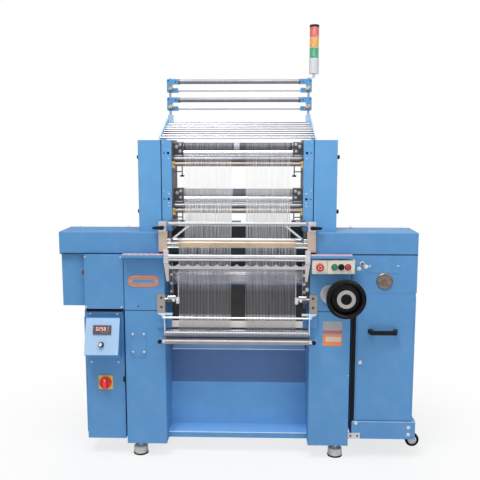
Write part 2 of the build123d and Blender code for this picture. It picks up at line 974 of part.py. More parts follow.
arm_half = 7.0
rod_reach = 24.0
guide_rod_radius = 5.0
axle_radius = 6.0
axle_seat = 4.0
guide_rod_y = pivot_y - rod_reach


def swing_arm():
    pad = make_hull(
        (
            Pos(pivot_y, pivot_z) * Circle(arm_half + pivot_radius / 2)
            + Pos(press_roller_y, takedown_z) * Circle(arm_half + axle_radius / 2)
        ).edges()
    )
    nose = make_hull(
        (
            Pos(pivot_y, pivot_z) * Circle(arm_half)
            + Pos(guide_rod_y, pivot_z) * Circle(guide_rod_radius + axle_seat / 2)
        ).edges()
    )
    body = extrude(Plane.YZ.offset(arm_inner) * (pad + nose), amount=arm_thickness)
    body = body - rod_x(0, pillar_outer, pivot_y, pivot_z, pivot_radius + bearing_gap)
    seat_end = arm_inner + axle_seat + running_gap
    return body - rod_x(0, seat_end, press_roller_y, takedown_z, axle_radius + bearing_gap)


guide_rod = rod_x(-arm_inner, arm_inner, guide_rod_y, pivot_z, guide_rod_radius)
add("swing_guide", guide_rod + both_sides(swing_arm))

press_half = arm_inner - running_gap
axle_half = arm_inner + axle_seat
press_roller = rod_x(-press_half, press_half, press_roller_y, takedown_z, takedown_radius)
press_axle = rod_x(-axle_half, axle_half, press_roller_y, takedown_z, axle_radius)
add("takedown_press_roller", press_roller + press_axle)

# Cloth rod: a fixed rod below the driven roller
cloth_rod_y = 5.0
cloth_rod_drop = 34.0
cloth_rod_radius = 12.0
add("front_bars", rod_x(-half_gap, half_gap, cloth_rod_y, takedown_z - cloth_rod_drop, cloth_rod_radius))

# Front bar: a flat bar whose end lugs sit on two studs in the pillars, held by black knobs
front_bar_low = 655.0
front_bar_high = 676.0
front_bar_y = -58.0
front_bar_depth = 10.0
stud_x = 398.0
stud_radius = 6.0
stud_z = (front_bar_low + front_bar_high) / 2
front_bar_inset = 5.0
end_lug_lap = 14.0
end_lug_depth = 6.0
end_lug_half = 9.0
front_bar_half = half_gap - front_bar_inset
front_bar = block(
    -front_bar_half,
    front_bar_half,
    front_bar_y - front_bar_depth,
    front_bar_y,
    front_bar_low,
    front_bar_high,
)


def end_lug():
    """A lug behind the bar's end, with the stud it sits on."""
    sides = (front_bar_half - end_lug_lap, stud_x + end_lug_half, front_bar_y, front_bar_y + end_lug_depth)
    lug = block(*sides, stud_z - end_lug_half, stud_z + end_lug_half)
    return lug + rod_y(stud_x, front_bar_y, 0, stud_z, stud_radius)


add("front_bars", front_bar + both_sides(end_lug))


def front_knob():
    return rod_y(stud_x, front_bar_y - knob_head, front_bar_y, stud_z, knob_radius)


add("black_knobs", *both_sides(front_knob))


# Shelves: folded sheet ledges on the heads, above the controls
shelf_depth = 60.0
shelf_rise = 6.0
shelf_lip = 14.0


def shelf():
    top = cover_z + shelf_rise
    profile = [
        (0, top),
        (-shelf_depth, top),
        (-shelf_depth, top - shelf_lip),
        (-shelf_depth + sheet, top - shelf_lip),
        (-shelf_depth + sheet, top - sheet),
        (-sheet, top - sheet),
        (-sheet, top - shelf_lip),
        (0, top - shelf_lip),
    ]
    return prism_x(profile, half_gap, pillar_outer)


add("shelves", *both_sides(shelf))

# Push-button boxes on the right head, under the shelf
box_low_drop = 88.0
box_height = 73.0
box_depth = 55.0
single_inset = 7.0
single_width = 76.0
triple_width = 140.0
box_round = 4.0
stop_radius = 20.0
stop_height = 18.0
stop_stem_radius = 11.0
stop_travel = 5.0
button_radius = 13.0
button_proud = 10.0
button_travel = 4.0
button_seat = 6.0
button_spacing = 34.0
box_low = cover_z - box_low_drop
button_z = box_low + box_height / 2
single_left = half_gap + single_inset
triple_left = single_left + single_width + running_gap
stop_x = single_left + single_width / 2
jog_x = triple_left + triple_width / 2
seat_depth = button_seat + button_travel + running_gap
single_box = block(single_left, single_left + single_width, -box_depth, 0, box_low, box_low + box_height)
single_box = fillet(single_box.edges().group_by(Axis.Y)[0], box_round)
stop_seat = -box_depth + seat_depth + stop_travel
stop_hole = rod_y(stop_x, -box_depth - overrun, stop_seat, button_z, stop_stem_radius + bearing_gap)
triple_box = block(triple_left, triple_left + triple_width, -box_depth, 0, box_low, box_low + box_height)
triple_box = fillet(triple_box.edges().group_by(Axis.Y)[0], box_round)
for name, step in (("start_button", -1), ("jog_button", 0), ("stop_button", 1)):
    x = jog_x + step * button_spacing
    hole = rod_y(x, -box_depth - overrun, -box_depth + seat_depth, button_z, button_radius + bearing_gap)
    triple_box = triple_box - hole
    button = rod_y(x, -box_depth - button_proud, -box_depth + button_seat, button_z, button_radius)
    add(name, chamfer(button.edges().group_by(Axis.Y)[0], sheet / 2))
add("button_boxes", single_box - stop_hole, triple_box)
stop_face = -box_depth - stop_travel - running_gap
mushroom = rod_y(stop_x, stop_face - stop_height, stop_face, button_z, stop_radius)
mushroom = fillet(mushroom.edges().group_by(Axis.Y)[0], stop_height / 3)
stop_stem = rod_y(stop_x, stop_face, -box_depth + button_seat, button_z, stop_stem_radius)
add("emergency_stop", mushroom + stop_stem)

# Handwheel: a dished black rim, a bright hub on the shaft and a black centre cap
wheel_radius = 100.0
wheel_front = 133.0
wheel_rim_depth = 34.0
wheel_rim_width = 20.0
wheel_web = 9.0
hub_radius = 47.0
hub_cap_radius = 28.0
hub_recess = 6.0
hub_step = 10.0
rim_back = -wheel_front + wheel_rim_depth
rim_profile = [
    (hub_radius, rim_back - hub_step - wheel_web),
    (wheel_radius - wheel_rim_width, rim_back - wheel_web),
    (wheel_radius - wheel_rim_width, -wheel_front + hub_recess),
    (wheel_radius - wheel_rim_width / 2, -wheel_front),
    (wheel_radius, -wheel_front + hub_recess),
    (wheel_radius, rim_back),
    (wheel_radius - wheel_rim_width, rim_back),
    (hub_radius, rim_back - hub_step),
]
hub_front = rim_back - hub_step - wheel_web - hub_recess
hub_profile = [
    (0, wheel_bearing_depth - sheet),
    (0, hub_front + hub_recess),
    (hub_cap_radius, hub_front + hub_recess),
    (hub_cap_radius, hub_front),
    (hub_radius, hub_front),
    (hub_radius, rim_back),
    (wheel_shaft_radius * 2, rim_back),
    (wheel_shaft_radius, rim_back + hub_step),
    (wheel_shaft_radius, wheel_bearing_depth - sheet),
]
cap_profile = [
    (0, hub_front + hub_recess),
    (0, hub_front - hub_recess / 2),
    (hub_cap_radius - hub_recess, hub_front - hub_recess / 2),
    (hub_cap_radius, hub_front),
    (hub_cap_radius, hub_front + hub_recess),
]
for profile in (rim_profile, hub_profile, cap_profile):
    add("handwheel", turned_y(profile, wheel_x, wheel_z))

# Right cabinet: a head box, a drive cabinet below it and a plinth on a caster
cabinet_front = 20.0
cabinet_inner = cabinet_outer - cabinet_width
cabinet_back = cabinet_front + cabinet_depth
cabinet_low = 213.0
head_box_low = 912.0
plinth_low = 115.0
plinth_inset = 12.0
plinth_reach = 20.0
window_edge = 34.0
door_stile = 32.0
door_lap = 14.0
shaft_z = 1010.0
shaft_y = 130.0
shaft_radius = 14.0
belt_room = 14.0
main_pulley_radius = 88.0
motor_pulley_radius = 44.0
pulley_width = 28.0
belt_thickness = 7.0
pulley_x = cabinet_inner + window_edge
belt_slot = block(
    pulley_x - belt_room,
    pulley_x + pulley_width + belt_room,
    shaft_y - main_pulley_radius - belt_room,
    shaft_y + main_pulley_radius + belt_room,
    head_box_low - overrun,
    head_box_low + overrun,
)
head_box_outer = cabinet_outer + head_box_overhang
head_box = block(cabinet_inner, head_box_outer, cabinet_front, gear_box_back, head_box_low, cover_z)
head_box_hollow = block(
    cabinet_inner + sheet,
    head_box_outer - sheet,
    cabinet_front + sheet,
    gear_box_back - sheet,
    head_box_low + sheet,
    cover_z - sheet,
)
shaft_hole = rod_x(half_gap, pulley_x, shaft_y, shaft_z, shaft_radius + bearing_gap)
add("right_cabinet", head_box - head_box_hollow - belt_slot - shaft_hole)
cabinet = block(cabinet_inner, cabinet_outer, cabinet_front, cabinet_back, cabinet_low, head_box_low)
cabinet_hollow = block(
    cabinet_inner + sheet,
    cabinet_outer - sheet,
    cabinet_front + sheet,
    cabinet_back - sheet,
    cabinet_low + sheet,
    head_box_low - sheet,
)
door_window = block(
    cabinet_inner + door_stile + door_lap,
    cabinet_outer - window_edge,
    cabinet_front - overrun,
    cabinet_front + overrun,
    cabinet_low + window_edge,
    head_box_low - window_edge,
)
add("right_cabinet", cabinet - cabinet_hollow - door_window - belt_slot)
shaft_end = half_gap + pillar_width - wheel_outer_inset / 2
shaft_bore = rod_x(shaft_end, pillar_outer + overrun, shaft_y, shaft_z, shaft_radius + bearing_gap)
bored_heads = [part - shaft_bore for part in pieces["head_castings"]]
pieces["head_castings"] = [solid for part in bored_heads for solid in part.solids()]

plinth_front = cabinet_front - sheet * 2
plinth_outer = cabinet_outer + plinth_reach
plinth_inner = cabinet_inner + plinth_inset
plinth = block(plinth_inner, plinth_outer, plinth_front, cabinet_back, plinth_low, cabinet_low)
plinth_hollow = block(
    plinth_inner + sheet,
    plinth_outer - sheet,
    plinth_front + sheet,
    cabinet_back - sheet,
    plinth_low - overrun,
    cabinet_low - sheet,
)
caster_inset = 14.0
caster_y = 190.0
caster_stem_radius = 8.0
caster_pad = 60.0
caster_stem = 20.0
caster_x = plinth_outer - caster_inset
pad_top = plinth_low + plate
pad = block(
    plinth_outer - caster_pad,
    plinth_outer - sheet,
    caster_y - caster_pad / 2,
    caster_y + caster_pad / 2,
    plinth_low,
    pad_top,
)
stem_bore = caster_stem_radius + bearing_gap
stem_hole = rod_z(caster_x, caster_y, plinth_low - overrun, pad_top + overrun, stem_bore)
add("cabinet_plinth", plinth - plinth_hollow + pad - stem_hole)

# Dock bracket between the right pillar and the plinth
dock_low = 118.0
dock_high = 150.0
dock_reach = 44.0
dock_depth = (plinth_front - plate, plinth_front)
dock = block(pillar_outer, plinth_inner + dock_reach, *dock_depth, dock_low, dock_high)
add("bracket_plates", dock)

# Caster: a swivel fork on a stem, and its wheel
caster_wheel_radius = 38.0
caster_trail = 38.0
caster_wheel_width = 26.0
caster_axle_radius = 6.0
fork_plate = 4.0
fork_gap = 1.5
fork_crown = 10.0
caster_lift = 0.5
wheel_center_x = caster_x + caster_trail
wheel_center_z = caster_wheel_radius + caster_lift
fork_half = caster_wheel_width / 2 + fork_gap
crown_low = plinth_low - running_gap - fork_crown
fork_profile = [
    (caster_x - caster_stem_radius * 2, crown_low + fork_crown),
    (caster_x + caster_stem_radius * 2, crown_low + fork_crown),
    (wheel_center_x + caster_axle_radius * 2, wheel_center_z),
    (wheel_center_x, wheel_center_z - caster_axle_radius * 2),
    (wheel_center_x - caster_axle_radius * 2, wheel_center_z),
]
fork = block(
    caster_x - caster_stem_radius * 2,
    caster_x + caster_stem_radius * 2,
    caster_y - fork_half,
    caster_y + fork_half,
    crown_low,
    crown_low + fork_crown,
)
for y0 in (caster_y - fork_half - fork_plate, caster_y + fork_half):
    fork = fork + prism_y(fork_profile, y0, y0 + fork_plate)
fork_edge = fork_half + fork_plate
axle = rod_y(wheel_center_x, caster_y - fork_edge, caster_y + fork_edge, wheel_center_z, caster_axle_radius)
stem = rod_z(caster_x, caster_y, crown_low, plinth_low + caster_stem, caster_stem_radius)
add("caster_fork", fork + axle + stem)
tyre_front = caster_y - caster_wheel_width / 2
tyre_back = caster_y + caster_wheel_width / 2
tyre = rod_y(wheel_center_x, tyre_front, tyre_back, wheel_center_z, caster_wheel_radius)
tyre = fillet(tyre.edges().filter_by(GeomType.CIRCLE), fork_plate)
axle_room = caster_axle_radius + bearing_gap
axle_bore = rod_y(wheel_center_x, caster_y - fork_edge, caster_y + fork_edge, wheel_center_z, axle_room)
add("caster_wheel", tyre - axle_bore)

# Cabinet door: a flat overlay door with a bridge handle and a round latch
door_edge = 6.0
door_round = 6.0
handle_left = 54.0
handle_length = 155.0
handle_z = 708.0
handle_half = 11.0
handle_reach = 42.0
handle_bar = 12.0
handle_foot = 22.0
latch_inset = 16.0
latch_z = 539.0
latch_radius = 10.0
latch_height = 8.0
door_back = cabinet_front - running_gap
door_front = door_back - sheet
door_left = cabinet_inner + door_stile
door_right = cabinet_outer - door_edge / 3
door_sides = (door_left, door_right, door_front, door_back)
door = block(*door_sides, cabinet_low + door_edge, head_box_low - door_edge)
door = rounded(door, Axis.Y, door_round)
door_foot = cabinet_low + door_edge + door_round * 2
door_head = head_box_low - door_edge - door_round * 2
door = door + rod_z(door_right, door_front, door_foot, door_head, sheet)
handle_x0 = door_left + handle_left
handle_x1 = handle_x0 + handle_length
handle_front = door_front - handle_reach
handle_profile = [
    (handle_x0, door_front),
    (handle_x0 + handle_bar, handle_front),
    (handle_x1 - handle_bar, handle_front),
    (handle_x1, door_front),
    (handle_x1 - handle_foot, door_front),
    (handle_x1 - handle_foot - handle_bar / 2, handle_front + handle_bar),
    (handle_x0 + handle_foot + handle_bar / 2, handle_front + handle_bar),
    (handle_x0 + handle_foot, door_front),
]
handle_face = Plane.XY.offset(handle_z - handle_half) * make_face(Polyline(*handle_profile, close=True))
handle = extrude(handle_face, amount=2 * handle_half)
handle = fillet(handle.edges().filter_by(Axis.Z).group_by(Axis.Y)[0], handle_bar / 2)
latch = rod_y(door_left + latch_inset, door_front - latch_height, door_front, latch_z, latch_radius)
add("cabinet_door", door, handle, latch)

# Drive inside the cabinet: motor with its pulley, belt, and the main pulley on the main shaft
motor_rise = 117.0
motor_radius = 74.0
motor_length = 190.0
motor_gap = 16.0
motor_foot_half = 70.0
motor_shaft_radius = 12.0
motor_shaft_seat = 30.0
rib_count = 24
rib_height = 5.0
rib_width = 5.0
groove_depth = 5.0
groove_margin = 5.0
motor_z = cabinet_low + sheet + motor_rise
pulley_end = pulley_x + pulley_width
motor_x0 = pulley_end + motor_gap


def pulley(z, radius):
    """A flat belt pulley with a dished web, at the belt's line."""
    body = rod_x(pulley_x, pulley_end, shaft_y, z, radius)
    dish = rod_x(pulley_end - groove_depth, pulley_end + overrun, shaft_y, z, radius - groove_margin * 2)
    hub = rod_x(pulley_x, pulley_end, shaft_y, z, radius / 2)
    return body - dish + hub


main_shaft = rod_x(shaft_end + running_gap, pulley_end, shaft_y, shaft_z, shaft_radius)
add("main_pulley", pulley(shaft_z, main_pulley_radius) + main_shaft)
motor_shaft = rod_x(pulley_x, motor_x0 + motor_shaft_seat, shaft_y, motor_z, motor_shaft_radius)
add("motor_pulley", pulley(motor_z, motor_pulley_radius) + motor_shaft)


def belt_loop(grow):
    upper = Pos(shaft_y, shaft_z) * Circle(main_pulley_radius + grow)
    lower = Pos(shaft_y, motor_z) * Circle(motor_pulley_radius + grow)
    return make_hull((upper + lower).edges())


belt_plan = belt_loop(running_gap + belt_thickness) - belt_loop(running_gap)
belt_face = Plane.YZ.offset(pulley_x + groove_margin) * belt_plan
add("drive_belt", extrude(belt_face, amount=pulley_width - 2 * groove_margin))

motor = rod_x(motor_x0, motor_x0 + motor_length, shaft_y, motor_z, motor_radius)
for index in range(rib_count):
    rib = block(
        motor_x0 + motor_gap,
        motor_x0 + motor_length - motor_gap,
        -rib_width / 2,
        rib_width / 2,
        motor_radius - rib_height,
        motor_radius + rib_height,
    )
    motor = motor + Pos(0, shaft_y, motor_z) * Rot(index * 360 / rib_count, 0, 0) * rib
motor_foot = block(
    motor_x0 + motor_gap,
    motor_x0 + motor_length - motor_gap,
    shaft_y - motor_foot_half,
    shaft_y + motor_foot_half,
    cabinet_low + sheet,
    motor_z - motor_radius / 2,
)
motor_seat_end = motor_x0 + motor_shaft_seat + running_gap
motor_bore = rod_x(motor_x0 - overrun, motor_seat_end, shaft_y, motor_z, motor_shaft_radius + bearing_gap)
add("main_motor", motor + motor_foot - motor_bore)

# Round covers: one beside the handwheel, one on the head box
disc_inset = 110.0
disc_radius = 50.0
disc_height = 14.0
box_disc_inset = 166.0
box_disc_radius = 42.0
box_disc_z = 975.0
box_disc_height = 8.0
disc_x = pillar_outer - disc_inset
disc = rod_y(disc_x, -disc_height, 0, wheel_z, disc_radius)
disc = fillet(disc.edges().group_by(Axis.Y)[0], sheet)
box_disc_x = cabinet_inner + box_disc_inset
box_disc = rod_y(box_disc_x, cabinet_front - box_disc_height, cabinet_front, box_disc_z, box_disc_radius)
box_disc = chamfer(box_disc.edges().group_by(Axis.Y)[0], sheet)
add("round_covers", disc, box_disc)

# Electric cabinet: a sheet box on spacers beside the left pillar
electric_front = 30.0
electric_gap = 11.0
electric_low = 96.0
spacer_half = 25.0
spacer_heights = (250.0, 640.0)
electric_right = -(pillar_outer + electric_gap)
electric_left = electric_right - electric_width
electric_back = electric_front + electric_depth
electric_top = electric_low + electric_height
electric = block(electric_left, electric_right, electric_front, electric_back, electric_low, electric_top)
electric_hollow = block(
    electric_left + sheet,
    electric_right - sheet,
    electric_front - overrun,
    electric_back - sheet,
    electric_low + sheet,
    electric_top - sheet,
)
electric = electric - electric_hollow
spacer_y = electric_front + electric_depth / 2
for height in spacer_heights:
    spacer_sides = (electric_right, -pillar_outer, spacer_y - spacer_half, spacer_y + spacer_half)
    electric = electric + block(*spacer_sides, height, height + spacer_half)
add("electric_cabinet", electric)

# Inverter: a finned drive unit on the cabinet's back wall
inverter_width = 120.0
inverter_low = 420.0
inverter_height = 220.0
inverter_depth = 95.0
fin_count = 9
fin_gap_share = 0.5
fin_depth = 30.0
electric_middle = (electric_left + electric_right) / 2
inverter_left = electric_middle - inverter_width / 2
inverter_back = electric_back - sheet
inverter_front = inverter_back - inverter_depth
inverter_right = inverter_left + inverter_width
inverter_top = inverter_low + inverter_height
inverter = block(inverter_left, inverter_right, inverter_front, inverter_back, inverter_low, inverter_top)
fin_pitch = inverter_width / (fin_count + fin_gap_share)
for index in range(fin_count):
    x = inverter_left + (index + fin_gap_share) * fin_pitch
    groove_sides = (x, x + fin_pitch * fin_gap_share, inverter_back - fin_depth, inverter_back - sheet)
    groove = block(*groove_sides, inverter_low - overrun, inverter_top + overrun)
    inverter = inverter - groove
add("inverter", inverter)

# Electric door with the sloped operator box, the meter bezel and the switch plate
operator_inset = 14.0
operator_top = 772.0
operator_top_depth = 28.0
operator_low = 592.0
operator_reach = 96.0
operator_heel = 545.0
meter_width = 96.0
meter_height = 48.0
meter_depth = 6.0
meter_z = 714.0
knob_z_at = 642.0
switch_z = 412.0
switch_half = 38.0
switch_plate = 4.0
electric_door_back = electric_front - running_gap
electric_door_front = electric_door_back - sheet
electric_sides = (electric_left, electric_right, electric_door_front, electric_door_back)
electric_door = block(*electric_sides, electric_low, electric_top)
hinge_low = electric_low + switch_half
hinge_high = electric_top - switch_half
electric_door = electric_door + rod_z(electric_left, electric_door_front, hinge_low, hinge_high, sheet)
operator_profile = [
    (electric_door_front, operator_top),
    (electric_door_front - operator_top_depth, operator_top),
    (electric_door_front - operator_reach, operator_low),
    (electric_door_front, operator_heel),
]
operator_box = prism_x(operator_profile, electric_left + operator_inset, electric_right - operator_inset)
slope_run = operator_reach - operator_top_depth
slope_rise = operator_top - operator_low
slope_length = math.hypot(slope_run, slope_rise)
slope_normal = (0, -slope_rise / slope_length, slope_run / slope_length)


def slope_plane(z):
    """A plane on the operator box's sloped face, at a height."""
    y = electric_door_front - operator_top_depth - slope_run * (operator_top - z) / slope_rise
    return Plane((electric_middle, y, z), x_dir=(1, 0, 0), z_dir=slope_normal)


speed_radius = 14.0
speed_height = 18.0
speed_shaft_radius = 3.0
speed_shaft = 12.0
speed_hole = Cylinder(speed_shaft_radius + bearing_gap, 2 * (speed_shaft + running_gap))
operator_box = operator_box - slope_plane(knob_z_at) * speed_hole
meter = extrude(slope_plane(meter_z) * Rectangle(meter_width, meter_height), amount=meter_depth)
switch_face = electric_door_front - switch_plate
switch_base = block(
    electric_middle - switch_half,
    electric_middle + switch_half,
    switch_face,
    electric_door_front,
    switch_z - switch_half,
    switch_z + switch_half,
)
switch_base = rounded(switch_base, Axis.Y, door_round)
switch_pin_radius = 7.0
switch_bore = switch_pin_radius + bearing_gap
switch_run = (switch_face - overrun, electric_door_back + overrun)
switch_hole = rod_y(electric_middle, *switch_run, switch_z, switch_bore)
add("electric_door", electric_door - switch_hole, operator_box, meter, switch_base - switch_hole)

speed_taper = 4.0
speed_cap = extrude(Circle(speed_radius), amount=speed_height, taper=speed_taper)
speed_stem = Cylinder(speed_shaft_radius, speed_shaft + 2 * running_gap)
speed_stem = Pos(0, 0, -speed_shaft / 2 - running_gap) * speed_stem
add("speed_knob", slope_plane(knob_z_at) * Pos(0, 0, running_gap) * (speed_cap + speed_stem))

switch_radius = 32.0
switch_height = 16.0
switch_grip = 14.0
switch_grip_half = 9.0
dial_back = switch_face - running_gap
dial = rod_y(electric_middle, dial_back - switch_height, dial_back, switch_z, switch_radius)
dial = fillet(dial.edges().group_by(Axis.Y)[0], sheet)
grip = block(
    electric_middle - switch_grip_half,
    electric_middle + switch_grip_half,
    dial_back - switch_height - switch_grip,
    dial_back - switch_height,
    switch_z - switch_radius + sheet,
    switch_z + switch_radius - sheet,
)
grip = rounded(grip, Axis.Y, sheet * 2)
pin = rod_y(electric_middle, dial_back, electric_door_back, switch_z, switch_pin_radius)
add("main_switch", dial + grip + pin)

# The origin is on the floor, in the middle of the whole machine's box
caster_reach = wheel_center_x + caster_wheel_radius
frame_x = (cover_left - caster_reach) / 2
frame_y = (wheel_front - pillar_depth) / 2
for name, solids in pieces.items():
    moved = [Pos(frame_x, frame_y, 0) * solid for solid in solids]
    export_step(Compound(children=moved), f"parts/{name}.step")
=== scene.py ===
import math
import random
from collections import namedtuple

import bmesh
import bpy
from mathutils import Matrix, Vector


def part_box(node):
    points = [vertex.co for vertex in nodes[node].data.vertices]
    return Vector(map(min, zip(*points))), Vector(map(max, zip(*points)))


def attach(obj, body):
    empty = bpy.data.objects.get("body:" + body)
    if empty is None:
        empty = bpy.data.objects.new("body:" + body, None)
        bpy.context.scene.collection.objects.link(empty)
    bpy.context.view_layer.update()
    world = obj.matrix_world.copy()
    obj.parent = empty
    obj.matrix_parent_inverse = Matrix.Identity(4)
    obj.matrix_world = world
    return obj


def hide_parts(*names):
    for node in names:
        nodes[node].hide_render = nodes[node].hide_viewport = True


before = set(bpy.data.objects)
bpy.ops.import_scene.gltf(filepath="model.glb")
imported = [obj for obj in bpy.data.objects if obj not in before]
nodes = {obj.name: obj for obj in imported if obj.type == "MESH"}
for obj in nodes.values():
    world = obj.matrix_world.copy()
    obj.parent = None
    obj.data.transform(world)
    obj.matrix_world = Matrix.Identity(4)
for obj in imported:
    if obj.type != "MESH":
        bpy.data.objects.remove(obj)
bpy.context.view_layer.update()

# Camera: a lens at eye height, a little right of the middle, looking slightly down.
# Distances are taken from the pillars' front plane and the machine's centre line.
pillar_low, pillar_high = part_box("pillars")
centre_x = (pillar_low.x + pillar_high.x) / 2
front_y = pillar_low.y


def place(x, y, z):
    """A point in metres from millimetres off the centre line, the front plane and the floor."""
    return Vector((centre_x + x / 1000, front_y + y / 1000, z / 1000))


def put(name, data):
    """Links a new object to the scene."""
    thing = bpy.data.objects.new(name, data)
    bpy.context.scene.collection.objects.link(thing)
    return thing


def look(thing, spot, ahead):
    """Stands a camera or a lamp at a spot and turns it to look ahead."""
    thing.location = spot
    thing.rotation_euler = ahead.to_track_quat("-Z", "Y").to_euler()


camera_focal_px = 680.0
photo_width_px = 480.0
camera_yaw = math.radians(1.7)
camera_pitch = math.radians(7.95)
camera_data = bpy.data.cameras.new("photo_camera")
camera_data.sensor_width = 36.0
camera_data.lens = camera_focal_px / photo_width_px * camera_data.sensor_width
camera_data.clip_end = 60.0
camera = put("photo_camera", camera_data)
camera_forward = Vector((
    -math.sin(camera_yaw) * math.cos(camera_pitch),
    math.cos(camera_yaw) * math.cos(camera_pitch),
    -math.sin(camera_pitch),
))
look(camera, place(118.4, -3468.0, 1674.6), camera_forward)
bpy.context.scene.camera = camera
bpy.context.scene.view_settings.view_transform = "Standard"

# Studio: a pale floor that keeps the machine's shadow, a white surround and soft lamps.
# The lamps stand in front and above, as large softboxes do.
white = (1, 1, 1)


def fill(node, values):
    """Sets a node's inputs: a socket is linked, anything else becomes the constant."""
    for label, value in values.items():
        socket = node.inputs[label]
        if isinstance(value, bpy.types.NodeSocket):
            node.id_data.links.new(value, socket)
        else:
            socket.default_value = (*value, 1) if socket.type == "RGBA" else value


def add(tree, kind, values=None, **settings):
    """A new shader node with its settings and its inputs."""
    node = tree.nodes.new("ShaderNode" + kind)
    for label, setting in settings.items():
        setattr(node, label, setting)
    fill(node, values or {})
    return node


def remap(value, low, high, to_low, to_high):
    """Maps a value from one range to another, held at the ends."""
    return add(value.id_data, "MapRange", {0: value, 1: low, 2: high, 3: to_low, 4: to_high}).outputs[0]


def calc(operation, first, second=0.0):
    """One sum of a value and a second, which is a socket or a number."""
    return add(first.id_data, "Math", {0: first, 1: second}, operation=operation).outputs[0]


def finish_material(name):
    """A new material, with its tree and its Principled shader."""
    finish = bpy.data.materials.new(name)
    finish.use_nodes = True
    return finish, finish.node_tree, finish.node_tree.nodes["Principled BSDF"]


floor_half = 30.0
floor_corners = [(-1, -1), (1, -1), (1, 1), (-1, 1)]
floor_mesh = bpy.data.meshes.new("studio_floor")
floor_mesh.from_pydata([(a * floor_half, b * floor_half, 0) for a, b in floor_corners], [], [(0, 1, 2, 3)])
floor = put("studio_floor", floor_mesh)
floor_finish, floor_tree, floor_shader = finish_material("studio_floor")
fill(floor_shader, {"Base Color": (0.86, 0.86, 0.86), "Roughness": 0.9, "Specular IOR Level": 0.1})
floor_spot = add(floor_tree, "NewGeometry").outputs["Position"]
floor_reach = add(floor_tree, "VectorMath", {0: floor_spot}, operation="LENGTH").outputs["Value"]
floor_path = add(floor_tree, "LightPath").outputs
floor_seen = calc("MAXIMUM", floor_path["Is Camera Ray"], floor_path["Is Transmission Ray"])
floor_blend = add(floor_tree, "MixShader", {
    0: calc("MULTIPLY", floor_seen, remap(floor_reach, 0.9, 1.9, 0.76, 1.0)),
    1: floor_shader.outputs["BSDF"],
    2: add(floor_tree, "Emission", {"Color": white, "Strength": 1.0}).outputs["Emission"],
})
fill(floor_tree.nodes["Material Output"], {"Surface": floor_blend.outputs["Shader"]})
floor_mesh.materials.append(floor_finish)

world = bpy.data.worlds.new("studio_world")
bpy.context.scene.world = world
world.use_nodes = True
world_tree = world.node_tree
world_light = world_tree.nodes["Background"]
fill(world_light, {"Color": (0.93, 0.96, 1.0), "Strength": 0.36})
world_path = add(world_tree, "LightPath").outputs
world_seen = calc("MAXIMUM", world_path["Is Camera Ray"], world_path["Is Transmission Ray"])
world_mix = add(world_tree, "MixShader", {
    0: calc("MAXIMUM", world_seen, world_path["Is Glossy Ray"]),
    1: world_light.outputs["Background"],
    2: add(world_tree, "Background", {"Color": white, "Strength": 1.0}).outputs["Background"],
})
fill(world_tree.nodes["World Output"], {"Surface": world_mix.outputs["Shader"]})

machine_middle = Vector((0, 0, 1.1))
for lamp_name, lamp_spot, lamp_size, lamp_power in (
        ("key_softbox", (-1.2, -2.5, 6.0), 2.0, 150), ("fill_softbox", (2.8, -3.8, 4.2), 3.0, 52),
        ("top_softbox", (0, -1.5, 5.3), 2.4, 66), ("back_softbox", (0.5, 4.2, 3.4), 3.0, 50)):
    lamp_data = bpy.data.lights.new(lamp_name, "AREA")
    lamp_data.shape = "SQUARE"
    lamp_data.size = lamp_size
    lamp_data.energy = lamp_power
    look(put(lamp_name, lamp_data), lamp_spot, machine_middle - Vector(lamp_spot))

# Pillars and housings: welded boxes and folded covers of sheet steel, powder coated in sky blue.
# The coat has a fine orange peel, broad soft tone changes and lighter rubbed edges.


def noise(scale, detail, coords):
    """A noise texture on the given coordinates."""
    values = {"Scale": scale, "Detail": detail, "Vector": coords}
    return add(coords.id_data, "TexNoise", values).outputs["Fac"]


def blend_colour(share, first, second):
    """Mixes two colours; each is a socket or a plain colour."""
    return add(share.id_data, "Mix", {0: share, 6: first, 7: second}, data_type="RGBA").outputs[2]


def tinted(colour, saturation, value):
    """A colour with its saturation and its value changed."""
    values = {"Saturation": saturation, "Value": value, "Color": colour}
    return add(colour.id_data, "HueSaturation", values).outputs[0]


def finish_group(name, takes):
    """A node group that gives a colour, a roughness and a height, with its inputs and its output node."""
    group = bpy.data.node_groups.new(name, "ShaderNodeTree")
    gives = (("Colour", "Color"), ("Roughness", "Float"), ("Height", "Float"))
    for in_out, sockets in (("INPUT", takes), ("OUTPUT", gives)):
        for label, kind in sockets:
            group.interface.new_socket(name=label, in_out=in_out, socket_type="NodeSocket" + kind)
    return group, group.nodes.new("NodeGroupInput").outputs, group.nodes.new("NodeGroupOutput")


coat_group, coat_in, coat_out = finish_group("powder_coat", (("Colour", "Color"), ("Gloss", "Float")))
coat_place = add(coat_group, "TexCoord").outputs["Object"]
coat_broad = remap(noise(2.3, 3.0, coat_place), 0.35, 0.7, 0.0, 0.75)
coat_cloud = noise(14.0, 4.0, coat_place)
coat_pale = tinted(coat_in["Colour"], 0.55, 1.25)
coat_tone = blend_colour(coat_broad, coat_in["Colour"], tinted(coat_in["Colour"], 1.06, 0.86))
coat_tone = blend_colour(remap(coat_cloud, 0.45, 0.8, 0.0, 0.12), coat_tone, coat_pale)
coat_edge = remap(add(coat_group, "NewGeometry").outputs["Pointiness"], 0.505, 0.53, 0.0, 0.3)
fill(coat_out, {
    "Colour": blend_colour(coat_edge, coat_tone, coat_pale),
    "Roughness": calc("ADD", coat_in["Gloss"], remap(coat_cloud, 0.3, 0.7, -0.05, 0.08)),
    "Height": noise(950.0, 1.0, coat_place),
})


